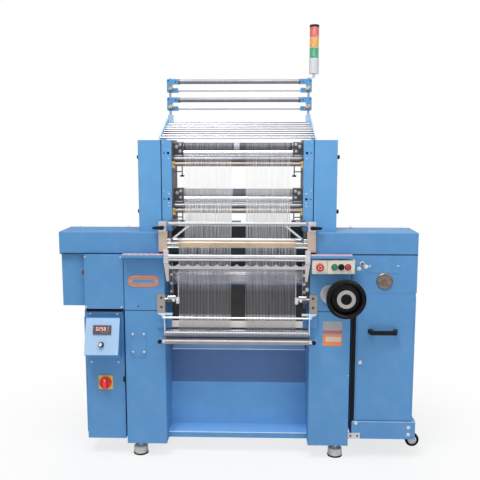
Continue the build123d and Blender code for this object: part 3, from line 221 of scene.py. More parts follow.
def bump_normal(shader, height, strength, distance, edge_radius=0.0):
    """Feeds a height to the shader's normal, over softly rounded edges where a radius is given."""
    bump = add(shader.id_data, "Bump", {"Strength": strength, "Distance": distance, "Height": height})
    if edge_radius:
        soft = add(shader.id_data, "Bevel", {"Radius": edge_radius}, samples=4)
        fill(bump, {"Normal": soft.outputs["Normal"]})
    fill(shader, {"Normal": bump.outputs["Normal"]})


def grouped_finish(name, group, takes, constants, bump, distance, edge_radius):
    """A finish whose colour, roughness and height come from a node group."""
    finish, tree, shader = finish_material(name)
    skin = add(tree, "Group", takes, node_tree=group).outputs
    fill(shader, {"Base Color": skin["Colour"], "Roughness": skin["Roughness"], **constants})
    bump_normal(shader, skin["Height"], bump, distance, edge_radius)
    return finish


def painted(name, colour, gloss=0.42):
    """A powder coated finish."""
    takes = {"Colour": colour, "Gloss": gloss}
    return grouped_finish(name, coat_group, takes, {"Specular IOR Level": 0.3}, 0.12, 0.0006, 0.0016)


def dress_faces(name, finishes, choose):
    """Gives a CAD node several finishes, chosen by each face's middle in millimetres."""
    shape = nodes[name].data
    shape.materials.clear()
    for finish in finishes:
        shape.materials.append(finish)
    for face in shape.polygons:
        x, y, z = face.center
        face.material_index = choose((x - centre_x) * 1000, (y - front_y) * 1000, z * 1000)


def dress(finish, *names):
    """Gives CAD nodes one finish all over."""
    for name in names:
        nodes[name].data.materials.clear()
        nodes[name].data.materials.append(finish)


sky_blue = painted("sky_blue_coat", (0.021, 0.252, 0.590))
pale_blue = painted("pale_blue_coat", (0.33, 0.55, 0.82), 0.36)
dress(sky_blue, "pillars", "head_castings", "gear_cover_plate", "right_cabinet", "cabinet_plinth",
      "electric_cabinet", "shelves")
dress(pale_blue, "fan_brackets")

# Rods, bars and guide tubes: drawn and ground steel, plated where the yarn runs over it.
# Brush lines follow each part's length, and faint stains dull the gloss.


def stretched(tree, scale=(1, 1, 1)):
    """Object coordinates, each axis times its own number."""
    coords = add(tree, "TexCoord").outputs["Object"]
    return add(tree, "VectorMath", {0: coords, 1: scale}, operation="MULTIPLY").outputs[0]


metal_group, metal_in, metal_out = finish_group(
    "machined_metal", (("Colour", "Color"), ("Roughness", "Float"), ("Brush", "Vector"), ("Stain", "Float")))
metal_streak = noise(1.0, 3.0, stretched(metal_group, metal_in["Brush"]))
metal_cloud = noise(9.0, 4.0, stretched(metal_group))
metal_share = calc("MULTIPLY", remap(metal_cloud, 0.4, 0.72, 0.0, 1.0), metal_in["Stain"])
fill(metal_out, {
    "Colour": blend_colour(metal_share, metal_in["Colour"], tinted(metal_in["Colour"], 1.0, 0.55)),
    "Roughness": calc("ADD", metal_in["Roughness"], remap(metal_streak, 0.3, 0.7, -0.08, 0.12)),
    "Height": metal_streak,
})


def metal(name, colour, roughness, brush=(4, 300, 300), stain=0.4, bump=0.06, metallic=1.0):
    """A machined metal finish with brush lines."""
    takes = {"Colour": colour, "Roughness": roughness, "Brush": brush, "Stain": stain}
    return grouped_finish(name, metal_group, takes, {"Metallic": metallic}, bump, 0.0005, 0.0006)


ground_steel = metal("ground_steel", (0.62, 0.62, 0.63), 0.34)
chrome = metal("chrome_plate", (0.82, 0.83, 0.85), 0.14, stain=0.15, bump=0.02)
satin_steel = metal("satin_steel", (0.70, 0.70, 0.71), 0.42, brush=(220, 220, 220), stain=0.25)
brass = metal("brass", (0.78, 0.55, 0.22), 0.30, brush=(90, 90, 90))
bright_bar = metal("bright_bar", (0.88, 0.87, 0.90), 0.28, stain=0.3, metallic=0.85)
tube_steel = metal("tube_steel", (0.46, 0.46, 0.50), 0.30)
rod_chrome = metal("rod_chrome", (0.50, 0.50, 0.53), 0.28, stain=0.1, bump=0.02)
rod_steel = metal("rod_steel", (0.30, 0.30, 0.33), 0.58, stain=0.3)
glazed_tube = metal("glazed_tube", (0.90, 0.90, 0.92), 0.3, stain=0.1, metallic=0.1)
warm_bar = metal("warm_bar", (0.40, 0.35, 0.32), 0.38, metallic=0.7)
dark_rod = metal("dark_rod", (0.20, 0.20, 0.22), 0.34)
dress(chrome, "upper_press_roller", "lower_press_roller", "guide_bar")
dress(rod_chrome, "fan_rods")
dress(brass, "brass_clamps")
dress_faces("top_yarn_rods", [rod_steel, glazed_tube],
            lambda x, y, z: 1 if min(abs(z - 1977), abs(z - 1878)) < 9.5 else 0)
# Painted reflection: the top bar's front face takes the darker tube steel, and its other faces the bright
# bar.
dress_faces("top_bar", [bright_bar, tube_steel],
            lambda x, y, z: 1 if y < 10.5 and 1263.5 < z < 1280.5 and abs(x) < 355 else 0)
dress_faces("top_frame", [tube_steel, sky_blue],
            lambda x, y, z: 0 if math.hypot(abs(x) - 383.5, y - 380) < 7.4 else 1)


def front_bar_zone(x, y, z):
    """The cloth rod is dark, the front bar's face warm, and the rest bright."""
    if z < 680 and y > -8:
        return 2
    return 1 if z < 680 and y < -67 else 0


dress_faces("front_bars", [bright_bar, warm_bar, dark_rod], front_bar_zone)

# Knobs and clamp levers: moulded black plastic screwed on to steel studs.
# The skin has a fine moulded grain and a little wear on the edges.
mould_group, mould_in, mould_out = finish_group("moulded_skin", (("Colour", "Color"), ("Roughness", "Float")))
mould_cloud = noise(22.0, 4.0, stretched(mould_group))
mould_edge = remap(add(mould_group, "NewGeometry").outputs["Pointiness"], 0.51, 0.56, 0.0, 0.35)
mould_share = calc("MAXIMUM", mould_edge, remap(mould_cloud, 0.5, 0.8, 0.0, 0.3))
fill(mould_out, {
    "Colour": blend_colour(mould_share, mould_in["Colour"], tinted(mould_in["Colour"], 0.85, 1.35)),
    "Roughness": calc("ADD", mould_in["Roughness"], remap(mould_cloud, 0.3, 0.7, -0.06, 0.08)),
    "Height": noise(1500.0, 1.0, stretched(mould_group)),
})


def moulded(name, colour, roughness=0.4, coat=0.0, bump=0.1, shine=0.35):
    """A moulded plastic or rubber finish."""
    takes = {"Colour": colour, "Roughness": roughness}
    constants = {"Coat Weight": coat, "Specular IOR Level": shine}
    return grouped_finish(name, mould_group, takes, constants, bump, 0.0004, 0.0008)


black_plastic = moulded("black_plastic", (0.010, 0.010, 0.011), 0.36, shine=0.16)
black_rubber = moulded("black_rubber", (0.009, 0.009, 0.010), 0.62, shine=0.12)
dress(black_plastic, "black_knobs", "left_clamp_lever", "right_clamp_lever")

# Cover plate of the left pillar: a small rounded steel plate over a hand hole, coated with the pillar.
# Four cap nuts hold it.
facing_turns = {"front": 0, "right": 90, "left": -90, "back": 180}


def stand(x, y, z, facing="front", lean=0.0):
    """A local frame in millimetres on a face: right, up and out of it, at a point."""
    turn = Matrix.Identity(4)
    if facing != "top":
        upright = Matrix.Rotation(math.radians(90), 4, "X")
        turn = Matrix.Rotation(math.radians(facing_turns[facing]), 4, "Z") @ upright
    leaning = Matrix.Rotation(math.radians(lean), 4, "X")
    return Matrix.Translation(place(x, y, z)) @ leaning @ turn @ Matrix.Scale(0.001, 4)


def rounded_outline(width, height, radius, steps=5):
    """Points of a rounded rectangle round the origin."""
    points = []
    for turn, (sx, sy) in enumerate(((1, 1), (-1, 1), (-1, -1), (1, -1))):
        for step in range(steps + 1):
            angle = math.radians(90 * turn + 90 * step / steps)
            points.append((
                sx * (width / 2 - radius) + radius * math.cos(angle),
                sy * (height / 2 - radius) + radius * math.sin(angle),
            ))
    return points


def ring_skin(mesh, rings, caps=True):
    """Joins rings of points with faces, and closes the ends."""
    rows = [[mesh.verts.new(point) for point in ring] for ring in rings]
    for low, high in zip(rows, rows[1:]):
        for index in range(len(low)):
            after = (index + 1) % len(low)
            mesh.faces.new((low[index], low[after], high[after], high[index]))
    if caps:
        mesh.faces.new(list(reversed(rows[0])))
        mesh.faces.new(rows[-1])


def slab(mesh, spot, outline, thickness, chamfer=0.6):
    """A plate with a chamfered front edge, its outline given round the local origin."""
    rings = []
    for inset, level in ((0, 0), (0, thickness - chamfer), (chamfer, thickness)):
        shares = [max(0.0, 1 - inset * 1.2 / math.hypot(a, b)) for a, b in outline]
        rings.append([spot @ Vector((a * share, b * share, level)) for (a, b), share in zip(outline, shares)])
    ring_skin(mesh, rings)


def lathe(mesh, spot, profile, sides=24):
    """A turned shape from (radius, height) pairs, standing out of a local frame."""
    turns = [math.tau * index / sides for index in range(sides)]
    ring_skin(mesh, [
        [spot @ Vector((radius * math.cos(turn), radius * math.sin(turn), level)) for turn in turns]
        for radius, level in profile])


def scaled(profile, radius, height):
    """A profile given in shares of a radius and a height."""
    return [(a * radius, b * height) for a, b in profile]


def pan_screw(mesh, spot, radius, height):
    """A round screw head with a socket."""
    lathe(mesh, spot, scaled((
        (1, 0), (1, 0.5), (0.86, 0.85), (0.6, 1), (0.42, 1), (0.4, 0.45), (0.02, 0.4)), radius, height), 16)


def cap_nut(mesh, spot, radius, height):
    """A hexagon nut under a domed cap."""
    lathe(mesh, spot, scaled(((1, 0), (1, 0.4), (0.88, 0.46)), radius, height), 6)
    lathe(mesh, spot, scaled((
        (0.8, 0.4), (0.76, 0.6), (0.6, 0.82), (0.34, 0.96), (0.02, 1)), radius, height), 14)


def hex_bolt(mesh, spot, radius, height):
    """A washer with a hexagon head on it."""
    lathe(mesh, spot, scaled(((1.35, 0), (1.35, 0.2), (1.28, 0.26)), radius, height), 18)
    lathe(mesh, spot, scaled(((1, 0.2), (1, 0.88), (0.84, 1), (0.02, 1)), radius, height), 6)


def build(name, finish, shapes, body="frame", smooth_below=35):
    """Makes a piece that rides on a body; each shape is a shaping function and its values."""
    mesh = bmesh.new()
    for shape, *values in shapes:
        shape(mesh, *values)
    bmesh.ops.recalc_face_normals(mesh, faces=mesh.faces[:])
    data = bpy.data.meshes.new(name)
    mesh.to_mesh(data)
    mesh.free()
    for face in data.polygons:
        face.use_smooth = True
    data.set_sharp_from_angle(angle=math.radians(smooth_below))
    data.materials.append(finish)
    piece = put(name, data)
    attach(piece, body)
    return piece


build("pillar_cover_plate", sky_blue, [
    (slab, stand(-520.5, 0, 643), rounded_outline(81, 164, 9), 2.5)])
build("pillar_cap_nuts", satin_steel, [
    (cap_nut, stand(x, -2.5, z), 7.5, 11) for x in (-551, -491) for z in (687, 590)])

# Housing seams: black rubber gaskets lie between the top covers, the heads and the pillars.
# They show as thin dark lines that stand a hair proud of the coat.


def bar(mesh, x0, x1, y0, y1, z0, z1, chamfer=0.4):
    """A bar with chamfered long edges, from corner to corner in millimetres."""
    lows, highs = (x0, y0, z0), (x1, y1, z1)
    spans = sorted((highs[axis] - lows[axis], axis) for axis in range(3))
    along = spans[-1][1]
    first, second = [axis for axis in range(3) if axis != along]
    cut = min(chamfer, spans[0][0] * 0.45)
    a0, a1, b0, b1 = lows[first], highs[first], lows[second], highs[second]
    corners = (
        (a0 + cut, b0), (a1 - cut, b0), (a1, b0 + cut), (a1, b1 - cut),
        (a1 - cut, b1), (a0 + cut, b1), (a0, b1 - cut), (a0, b0 + cut))
    rings = []
    for level in (lows[along], highs[along]):
        ring = []
        for a, b in corners:
            point = [level] * 3
            point[first], point[second] = a, b
            ring.append(place(*point))
        rings.append(ring)
    ring_skin(mesh, rings)


build("housing_gaskets", black_rubber, [
    (bar, -930.9, -592, 19.2, 20.8, 1110.5, 1113.5), (bar, 592, 934.8, 19.2, 20.8, 1110.5, 1113.5),
    (bar, -592.5, -407, -0.7, 1, 813.2, 816.4), (bar, 407, 592.5, -0.7, 1, 813.2, 816.4),
    (bar, 933.4, 935, 20, 244, 1110.5, 1113.5), (bar, -930.9, -929.4, 20, 244, 1110.5, 1113.5)])

# Cover fasteners: pan head screws with sockets hold the gear cover at its four corners.
# They are plated steel, a little brighter than the coat.


Box = namedtuple("Box", "x0 y0 z0 x1 y1 z1 x y z")


def box_mm(name):
    """A node's box in millimetres: its low corner, its high corner and its middle."""
    low, high = [
        ((spot.x - centre_x) * 1000, (spot.y - front_y) * 1000, spot.z * 1000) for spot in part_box(name)]
    return Box(*low, *high, *((a + b) / 2 for a, b in zip(low, high)))


gear = box_mm("gear_cover_plate")
build("gear_cover_screws", satin_steel, [
    (pan_screw, stand(x, gear.y0, z), 5.5, 4.0)
    for x in (gear.x0 + 8, gear.x1 - 12) for z in (gear.z0 + 10, gear.z1 - 12)])

# Name plate place: a bare oval plate in the coat's blue, with raised rims of copper coloured metal.
# Two screws fix it to the left head.
oval_spot = stand(-489, 0, 971)
copper, copper_tree, copper_shader = finish_material("anodised_copper")
copper_grain = noise(1.0, 2.0, stretched(copper_tree, (30, 30, 900)))
copper_share = remap(copper_grain, 0.3, 0.7, 0.0, 1.0)
fill(copper_shader, {
    "Base Color": blend_colour(copper_share, (0.72, 0.24, 0.10), (0.86, 0.36, 0.17)),
    "Roughness": remap(copper_grain, 0.3, 0.7, 0.3, 0.46),
    "Metallic": 0.55,
})


def frame_ring(mesh, spot, outer, inner, low, high):
    """A flat ring between two outlines with the same number of points."""
    rings = [
        [spot @ Vector((a, b, level)) for a, b in outline]
        for outline, level in ((outer, low), (outer, high), (inner, high), (inner, low), (outer, low))]
    ring_skin(mesh, rings, caps=False)
    bmesh.ops.remove_doubles(mesh, verts=mesh.verts[:], dist=1e-7)


def shifted(spot, right, up=0, out=0):
    """A local frame moved in its own directions."""
    return spot @ Matrix.Translation((right, up, out))


build("oval_plate", sky_blue, [(slab, oval_spot, rounded_outline(162, 62, 30.5, 10), 1.6, 0.5)])
build("oval_plate_rims", copper, [
    (frame_ring, oval_spot, rounded_outline(161, 61, 30, 10), rounded_outline(137, 38, 18.5, 10), 1.5, 2.3),
    (frame_ring, oval_spot, rounded_outline(124, 31, 9, 10), rounded_outline(112, 19, 4, 10), 1.5, 2.1)])
build("oval_plate_screws", ground_steel, [
    (pan_screw, shifted(oval_spot, side, 0, 1.5), 4.2, 2.2) for side in (-66.5, 66.5)])

# Plugs and holes: brown plastic plugs on the gear box and in one cap, and a small oil hole in the left head.
# On the right head box three cream caps close adjusting holes, and a blank plate sits under two screws.
brown_plastic = moulded("brown_plastic", (0.20, 0.085, 0.035), 0.45)
cream_plastic = moulded("cream_plastic", (0.74, 0.70, 0.60), 0.42)
cap_profile = [(11, 0), (11, 2.2), (9.6, 3.4), (5, 4.2), (0.3, 4.3)]
build("brown_plugs", brown_plastic, [
    (lathe, stand(-812, 40, 1010), cap_profile),
    (lathe, stand(648, 17.6, 1066), [(7.6, 0), (7.6, 1.4), (5.5, 2.2), (0.3, 2.4)])])
build("cream_caps", cream_plastic, [
    (lathe, stand(x, 20, z), cap_profile) for x, z in ((632, 1038), (669, 1049), (648, 1066))])
build("oil_hole", black_rubber, [
    (lathe, stand(-519, 0, 836), [(4, 0), (4, 0.5), (3.2, 0.6), (0.3, 0.2)], 14)])
blank_spot = stand(761, 20, 1055)
build("blank_plate", sky_blue, [(slab, blank_spot, rounded_outline(166, 78, 3), 1.4, 0.4)])
build("blank_plate_screws", satin_steel, [
    (pan_screw, shifted(blank_spot, side, -1, 1.4), 5.5, 4.0) for side in (-74, 72)])

# Warp yarns: white elastic covering yarns, fed by the two roller sets and drawn down to the guide bar.
# Each yarn rounds the feed roller, passes the nip, then runs over the guide tubes.


def arc_points(y, z, radius, start, end, steps):
    """(y, z) points on a circle, by angle from the rear towards the top."""
    angles = [math.radians(start + (end - start) * step / steps) for step in range(steps + 1)]
    return [(y + radius * math.cos(angle), z + radius * math.sin(angle)) for angle in angles]


def strand(mesh, points, radius, sides=4):
    """A thin thread through points in millimetres."""
    spots = [place(*point) for point in points]
    turns = [math.tau * index / sides for index in range(sides)]
    rings = []
    for index, spot in enumerate(spots):
        ahead = spots[min(index + 1, len(spots) - 1)] - spots[max(index - 1, 0)]
        ahead.normalize()
        up = ahead.cross(Vector((1, 0, 0))).normalized()
        across = up.cross(ahead).normalized()
        rings.append([
            spot + (across * math.cos(turn) + up * math.sin(turn)) * radius / 1000 for turn in turns])
    ring_skin(mesh, rings)


yarn, yarn_tree, yarn_shader = finish_material("white_yarn")
yarn_batch = remap(noise(1.0, 1.0, stretched(yarn_tree, (160, 2, 1))), 0.4, 0.65, 0.0, 1.0)
fill(yarn_shader, {
    "Base Color": blend_colour(yarn_batch, (0.97, 0.97, 0.97), (0.88, 0.88, 0.90)),
    "Roughness": 0.75,
    "Sheen Weight": 0.4,
    "Subsurface Weight": 0.5,
    "Subsurface Radius": (0.003, 0.003, 0.003),
})
bump_normal(yarn_shader, noise(1.0, 2.0, stretched(yarn_tree, (700, 700, 900))), 0.4, 0.0004)
yarn_draw = random.Random(7)


def yarn_places(pitch, jitter):
    """Places across the two webs, left and right of the middle gap, at an uneven pitch."""
    places = []
    for start, end in ((-276, -30), (46, 276)):
        x = start
        while x < end:
            places.append(x + yarn_draw.uniform(-jitter, jitter))
            x += pitch * yarn_draw.choice((0.6, 1, 1, 1, 1.5))
    return places


feed_y, press_y, press_drop = 190.0, 177.5, 36.4
feed_heights = {name: box_mm(name + "_feed_roller").z for name in ("upper", "lower")}
yarn_foot_z = box_mm("guide_bar").z1 + 0.8
for set_name, yarn_foot_y, yarn_pitch, yarn_radius in (
        ("upper", 40.0, 3.9, 0.36), ("lower", 50.0, 2.1, 0.56)):
    feed_z = feed_heights[set_name]
    yarn_path = [
        *arc_points(feed_y, feed_z, 19.7, 120, 249, 7),
        *arc_points(press_y, feed_z - press_drop, 19.7, 66, -100, 8),
        *arc_points(110, feed_z - 67, 14.7, 84, 196, 6),
        *arc_points(90, feed_z - 92, 12.2, 130, 186, 4),
        (yarn_foot_y, yarn_foot_z)]
    yarn_last = len(yarn_path) - 1
    yarn_shapes = []
    for yarn_x in yarn_places(yarn_pitch, yarn_pitch / 5):
        sway = yarn_draw.uniform(-3, 3)
        yarn_shapes.append((
            strand,
            [(yarn_x + sway * (step / yarn_last) ** 3, y, z) for step, (y, z) in enumerate(yarn_path)],
            yarn_radius))
    warp_piece = build(set_name + "_warp_yarns", yarn, yarn_shapes, smooth_below=180)
    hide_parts("warp_sheets")

# Knitted tapes: narrow elastic tapes leave the needle bed and run down to the take-down rollers.
# They hang side by side in two webs with a free gap in the middle.


def axes(tree):
    """The object coordinates, with one output for each axis."""
    return add(tree, "SeparateXYZ", {0: stretched(tree)}).outputs


knit, knit_tree, knit_shader = finish_material("knitted_tape")
knit_wale = add(knit_tree, "TexWave", {
    "Scale": 1.0, "Distortion": 1.2, "Vector": stretched(knit_tree, (180, 0, 420))}).outputs["Fac"]
knit_batch = remap(noise(1.0, 2.0, stretched(knit_tree, (70, 2, 3))), 0.35, 0.7, 0.0, 1.0)
knit_z = axes(knit_tree)["Z"]
knit_tone = blend_colour(knit_batch, (0.66, 0.65, 0.69), (0.37, 0.37, 0.40))
# Painted shade darkens the tapes below about 0.93 m, and below 0.79 m painted light makes them pale.
knit_tone = blend_colour(remap(knit_z, 0.915, 0.955, 0.85, 0.0), knit_tone, (0.13, 0.135, 0.14))
knit_tone = blend_colour(remap(knit_z, 0.79, 0.80, 0.85, 0.0), knit_tone, (0.88, 0.86, 0.86))
fill(knit_shader, {
    "Base Color": blend_colour(remap(knit_wale, 0.0, 1.0, 0.0, 0.35), knit_tone, (0.17, 0.17, 0.19)),
    "Roughness": 0.8,
    "Sheen Weight": 0.25,
})
bump_normal(knit_shader, knit_wale, 0.6, 0.0008)
web = box_mm("fabric_web")
web_top_y, web_foot_y = web.y1 - 0.6, web.y0 + 0.6
tape_pitch = 7.6
tape_steps = 16
tape_crown = 0.45
tape_section = ((-1, 0), (-0.6, -1), (0.6, -1), (1, 0), (0.6, 1), (-0.6, 1))


def tape(mesh, x, width, bow):
    """One tape as a closed strip, a little wavy, from the bed to the take-down."""
    rings = []
    for step in range(tape_steps + 1):
        share = step / tape_steps
        y = web_top_y + (web_foot_y - web_top_y) * share + bow * math.sin(math.pi * share)
        z = web.z1 + (web.z0 - web.z1) * share
        half = width / 2 * (1 + 0.06 * math.sin(9 * share + x))
        middle = x + 0.5 * math.sin(5 * share + x * 0.7)
        rings.append([place(middle + half * a, y + tape_crown * b, z) for a, b in tape_section])
    ring_skin(mesh, rings)


for web_side, web_start, web_end in (("left", -305, -27), ("right", 42, 309)):
    tape_shapes = []
    for index in range(int((web_end - web_start) / tape_pitch)):
        tape_width = tape_pitch * yarn_draw.uniform(0.38, 0.56)
        tape_x = web_start + tape_pitch * (index + 0.5)
        tape_shapes.append((tape, tape_x, tape_width, yarn_draw.uniform(-0.4, 0.4)))
    web_piece = build(web_side + "_knitted_tapes", knit, tape_shapes, smooth_below=180)
    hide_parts("fabric_web")

# Feed rollers: rubber covered drums with fine turned rings that grip the yarn.
# The press rollers under them are plated, and one of each pair of guide tubes is brown anodised.


def ringed(name, colour, groove, ring_scale, roughness, metallic=0.0, patch=None):
    """A turned finish with fine rings across the length, and a plain patch in its middle if given."""
    finish, tree, shader = finish_material(name)
    rings = add(tree, "TexWave", {
        "Scale": ring_scale, "Distortion": 0.6, "Detail": 1.0,
        "Vector": stretched(tree, (1, 0, 0))}).outputs["Fac"]
    cloud = noise(30.0, 3.0, stretched(tree))
    tone = blend_colour(calc("MULTIPLY", rings, remap(cloud, 0.3, 0.7, 0.6, 1.0)), groove, colour)
    if patch:
        start, end, bare = patch
        off = calc("ABSOLUTE", calc("SUBTRACT", axes(tree)["X"], place((start + end) / 2, 0, 0).x))
        half = (end - start) / 2000
        tone = blend_colour(remap(off, half - 0.002, half + 0.002, 1.0, 0.0), tone, bare)
    fill(shader, {
        "Base Color": tone,
        "Roughness": remap(cloud, 0.3, 0.7, roughness - 0.06, roughness + 0.1),
        "Metallic": metallic,
    })
    bump_normal(shader, rings, 0.5, 0.0006)
    return finish


dark_grip = ringed(
    "dark_grip", (0.17, 0.16, 0.20), (0.05, 0.05, 0.07), 75.0, 0.5, patch=(-22, 8, (0.62, 0.61, 0.66)))
pale_grip = ringed(
    "pale_grip", (0.76, 0.75, 0.80), (0.50, 0.49, 0.55), 75.0, 0.5, patch=(-27, 42, (0.20, 0.19, 0.24)))
worn_steel = ringed("worn_steel", (0.42, 0.42, 0.44), (0.19, 0.19, 0.21), 40.0, 0.34, 1.0)
brown_steel = metal("brown_anodised", (0.27, 0.235, 0.21), 0.4, stain=0.6)
guide_steel = metal("guide_steel", (0.25, 0.25, 0.28), 0.38, stain=0.5)
dark_casting = metal("dark_casting", (0.15, 0.15, 0.16), 0.5, brush=(60, 60, 60), stain=0.6)
dress(dark_grip, "upper_feed_roller")
dress(pale_grip, "lower_feed_roller")
dress(worn_steel, "takedown_roller", "takedown_press_roller")
dress(dark_casting, "roller_brackets")
dress_faces("guide_tubes", [guide_steel, brown_steel],
            lambda x, y, z: 1 if z < 1343.4 or 1564 < z < 1587.4 else 0)

# End plates and hook plates: ground flat steel with a warm oxide tone, screwed to the heads.
# The dock bracket at the plinth is of the same stock, left bright.
plate_brush = (40, 200, 200)
warm_plate = metal("warm_plate", (0.61, 0.50, 0.41), 0.46, plate_brush, stain=0.35, metallic=0.35)
hook_steel = metal("hook_steel", (0.42, 0.37, 0.32), 0.46, plate_brush, stain=0.35, metallic=0.35)
beige_strip = metal("beige_strip", (0.88, 0.81, 0.74), 0.5, (3, 200, 200), stain=0.2, metallic=0.15)
dress_faces("bracket_plates", [hook_steel, satin_steel, beige_strip, warm_plate],
            lambda x, y, z: 1 if x > 560 else 2 if abs(x) < 330 and z < 800 else 3 if z > 950 else 0)
both_sides = (-1, 1)


def side_bar(side, near, far, *rest):
    """The shape of a bar on one side, between two distances from the centre line."""
    return (bar, *sorted((side * near, side * far)), *rest)


build("hook_plate_screws", black_plastic, [
    (pan_screw, stand(side * 395, -6, z), 6.5, 4) for side in both_sides for z in (885, 836)])
build("strip_end_plates", sky_blue, [
    side_bar(side, 343.5, 377.5, 10.9, 12.2, 720, 772, 0.5) for side in both_sides])

# Needle bed and guard strip: the bed is a long machined bar, its front face a warm tan.
# The scalloped guard strip under it is plain bent sheet.
tan_metal = metal("tan_bed", (0.64, 0.51, 0.37), 0.42, (3, 240, 240), stain=0.5, metallic=0.4)
pale_strip = metal("pale_strip", (0.64, 0.60, 0.57), 0.42, stain=0.3, metallic=0.5)
pale_arm = painted("pale_arm_coat", (0.60, 0.77, 0.95), 0.36)
dress(tan_metal, "needle_bed")
dress(pale_strip, "guard_strip")
dress_faces("swing_guide", [pale_arm, chrome], lambda x, y, z: 1 if abs(x) < 345 else 0)
dress_faces("takedown_brackets", [sky_blue, pale_arm], lambda x, y, z: 1 if z > 782.5 or y < -10.5 else 0)

# Push-button boxes: two cream moulded boxes under the right shelf, each with a screwed lid.
# Collars carry the emergency stop and the three buttons.
dress(cream_plastic, "button_boxes")
boxes = box_mm("button_boxes")
box_height = boxes.z1 - boxes.z0
stop = box_mm("emergency_stop")
buttons = {name: box_mm(name) for name in ("start_button", "jog_button", "stop_button")}
divide_x = stop.x + (buttons["start_button"].x - stop.x) * 0.53
build("stop_collar", moulded("collar_yellow", (0.74, 0.55, 0.06), 0.4), [
    (lathe, stand(stop.x, boxes.y0, stop.z), [(17, 0), (17, 1.4), (15.6, 2.2), (11, 2.2), (11, 0.2)], 32)])
build("button_collars", black_plastic, [
    (lathe, stand(button.x, boxes.y0, button.z),
     [(16.2, 0), (16.2, 2.0), (15.2, 3.0), (12.4, 3.0), (12.2, 0.3)], 32)
    for button in buttons.values()])
build("button_box_lids", cream_plastic, [
    (frame_ring, stand((x0 + x1) / 2, boxes.y0, boxes.z),
     rounded_outline(x1 - x0, box_height - 5, 5), rounded_outline(x1 - x0 - 3, box_height - 8, 4), -0.2, 0.8)
    for x0, x1 in ((boxes.x0 + 2.5, divide_x - 2), (divide_x + 2, boxes.x1 - 2.5))])
build("lid_screws", satin_steel, [
    (pan_screw, stand(x, boxes.y0, z), 3.2, 1.6)
    for x in (boxes.x0 + 9, divide_x - 9, divide_x + 9, boxes.x1 - 9) for z in (boxes.z0 + 9, boxes.z1 - 9)])

# Emergency stop: a red mushroom that latches, with three pale turn arrows moulded on its face.
# It presses into the left of the two boxes.
red_plastic = moulded("red_plastic", (0.56, 0.014, 0.02), 0.3, coat=0.3)
pale_mark = moulded("pale_mark", (0.80, 0.62, 0.60), 0.4)
dress(red_plastic, "emergency_stop")
stop_face = stand(stop.x, stop.y0, stop.z)


def curved_mark(mesh, inner, outer, start, end, steps):
    """A flat curved band on the stop's face, from one angle to another."""
    rings = []
    for step in range(steps + 1):
        angle = math.radians(start + (end - start) * step / steps)
        rings.append([
            stop_face @ Vector((radius * math.cos(angle), radius * math.sin(angle), level))
            for radius, level in ((inner, -0.6), (outer, -0.6), (outer, 0.3), (inner, 0.3))])
    ring_skin(mesh, rings)


build("stop_turn_marks", pale_mark, [
    shape for turn in (20, 140, 260) for shape in (
        (curved_mark, 7.6, 10.2, turn, turn + 78, 14), (curved_mark, 6.0, 11.8, turn + 78, turn + 92, 3))],
    body="emergency_stop")

# Push buttons: green, black and red caps in the collars, each with a raised ring on its face.
# They spring back when released.
green_plastic = moulded("green_plastic", (0.010, 0.26, 0.12), 0.3, coat=0.3)
for (name, button), finish in zip(buttons.items(), (green_plastic, black_plastic, red_plastic)):
    dress(finish, name)
    build(name + "_face", finish, [
        (lathe, stand(button.x, button.y0, button.z),
         [(8.6, -0.4), (8.6, 0.5), (8.0, 0.8), (6.6, 0.8), (6.2, 0.3), (0.2, 0.2)], 28)], body=name)

# Handwheel: a dished cast rim in gloss black on a bright turned hub, with a black cap.
# It is keyed to the shaft that leaves the right head.
gloss_black = moulded("gloss_black", (0.005, 0.005, 0.006), 0.2, coat=0.06, bump=0.02, shine=0.12)
hub_steel = metal("hub_steel", (0.52, 0.49, 0.48), 0.34, brush=(240, 240, 240))
wheel = box_mm("handwheel")
dress_faces("handwheel", [gloss_black, hub_steel],
            lambda x, y, z: 1 if 27.5 <= math.hypot(x - wheel.x, z - wheel.z) < 46.9 else 0)

# Round covers: two turned steel discs close bearing bores on the right head and the cabinet head box.
# Their faces are spun with fine rings.


def spun(name, colour, roughness, middle, metallic=1.0, mottle=0.5):
    """A spun finish with rings round a point on a front face, and a darker mottle over them."""
    finish, tree, shader = finish_material(name)
    coords = add(tree, "TexCoord").outputs["Object"]
    offset = add(tree, "VectorMath", {0: coords, 1: middle}, operation="SUBTRACT").outputs[0]
    flat = add(tree, "VectorMath", {0: offset, 1: (1, 0, 1)}, operation="MULTIPLY").outputs[0]
    reach = add(tree, "VectorMath", {0: flat}, operation="LENGTH").outputs["Value"]
    rings = add(tree, "TexNoise", {"Scale": 900.0, "W": reach}, noise_dimensions="1D").outputs["Fac"]
    shade = [part * (1.0 - 0.8 * mottle) for part in colour]
    tone = blend_colour(remap(rings, 0.35, 0.65, 0.0, 1.0), shade, colour)
    fill(shader, {
        "Base Color": blend_colour(remap(noise(55.0, 4.0, offset), 0.42, 0.66, 0.0, mottle), tone, shade),
        "Roughness": remap(rings, 0.3, 0.7, roughness - 0.08, roughness + 0.1),
        "Metallic": metallic,
    })
    bump_normal(shader, rings, 0.25, 0.0004)
    return finish


# The head disc's mottle is stains; the box disc's strong brown mottle is partly stains and partly painted
# reflection of the dark parts round it.
head_disc = spun("spun_head_disc", (0.76, 0.75, 0.75), 0.36, place(491, 0, 923), 0.7)
box_disc = spun("spun_box_disc", (0.46, 0.37, 0.32), 0.30, place(758, 0, 1000), mottle=0.8)
dress_faces("round_covers", [head_disc, box_disc], lambda x, y, z: 0 if x < 600 else 1)

# Cabinet door: an overlay door of coated sheet with a black bridge handle and a small bright latch.
# It swings on a pin hinge at its outer edge.
door = box_mm("cabinet_door")
door_face = door.y1 - 3.2


def door_zone(x, y, z):
    """Which finish a face of the cabinet door has: the coat, the handle or the latch."""
    if y > door_face - 0.6 or x > 920:
        return 0
    return 1 if z > 620 else 2


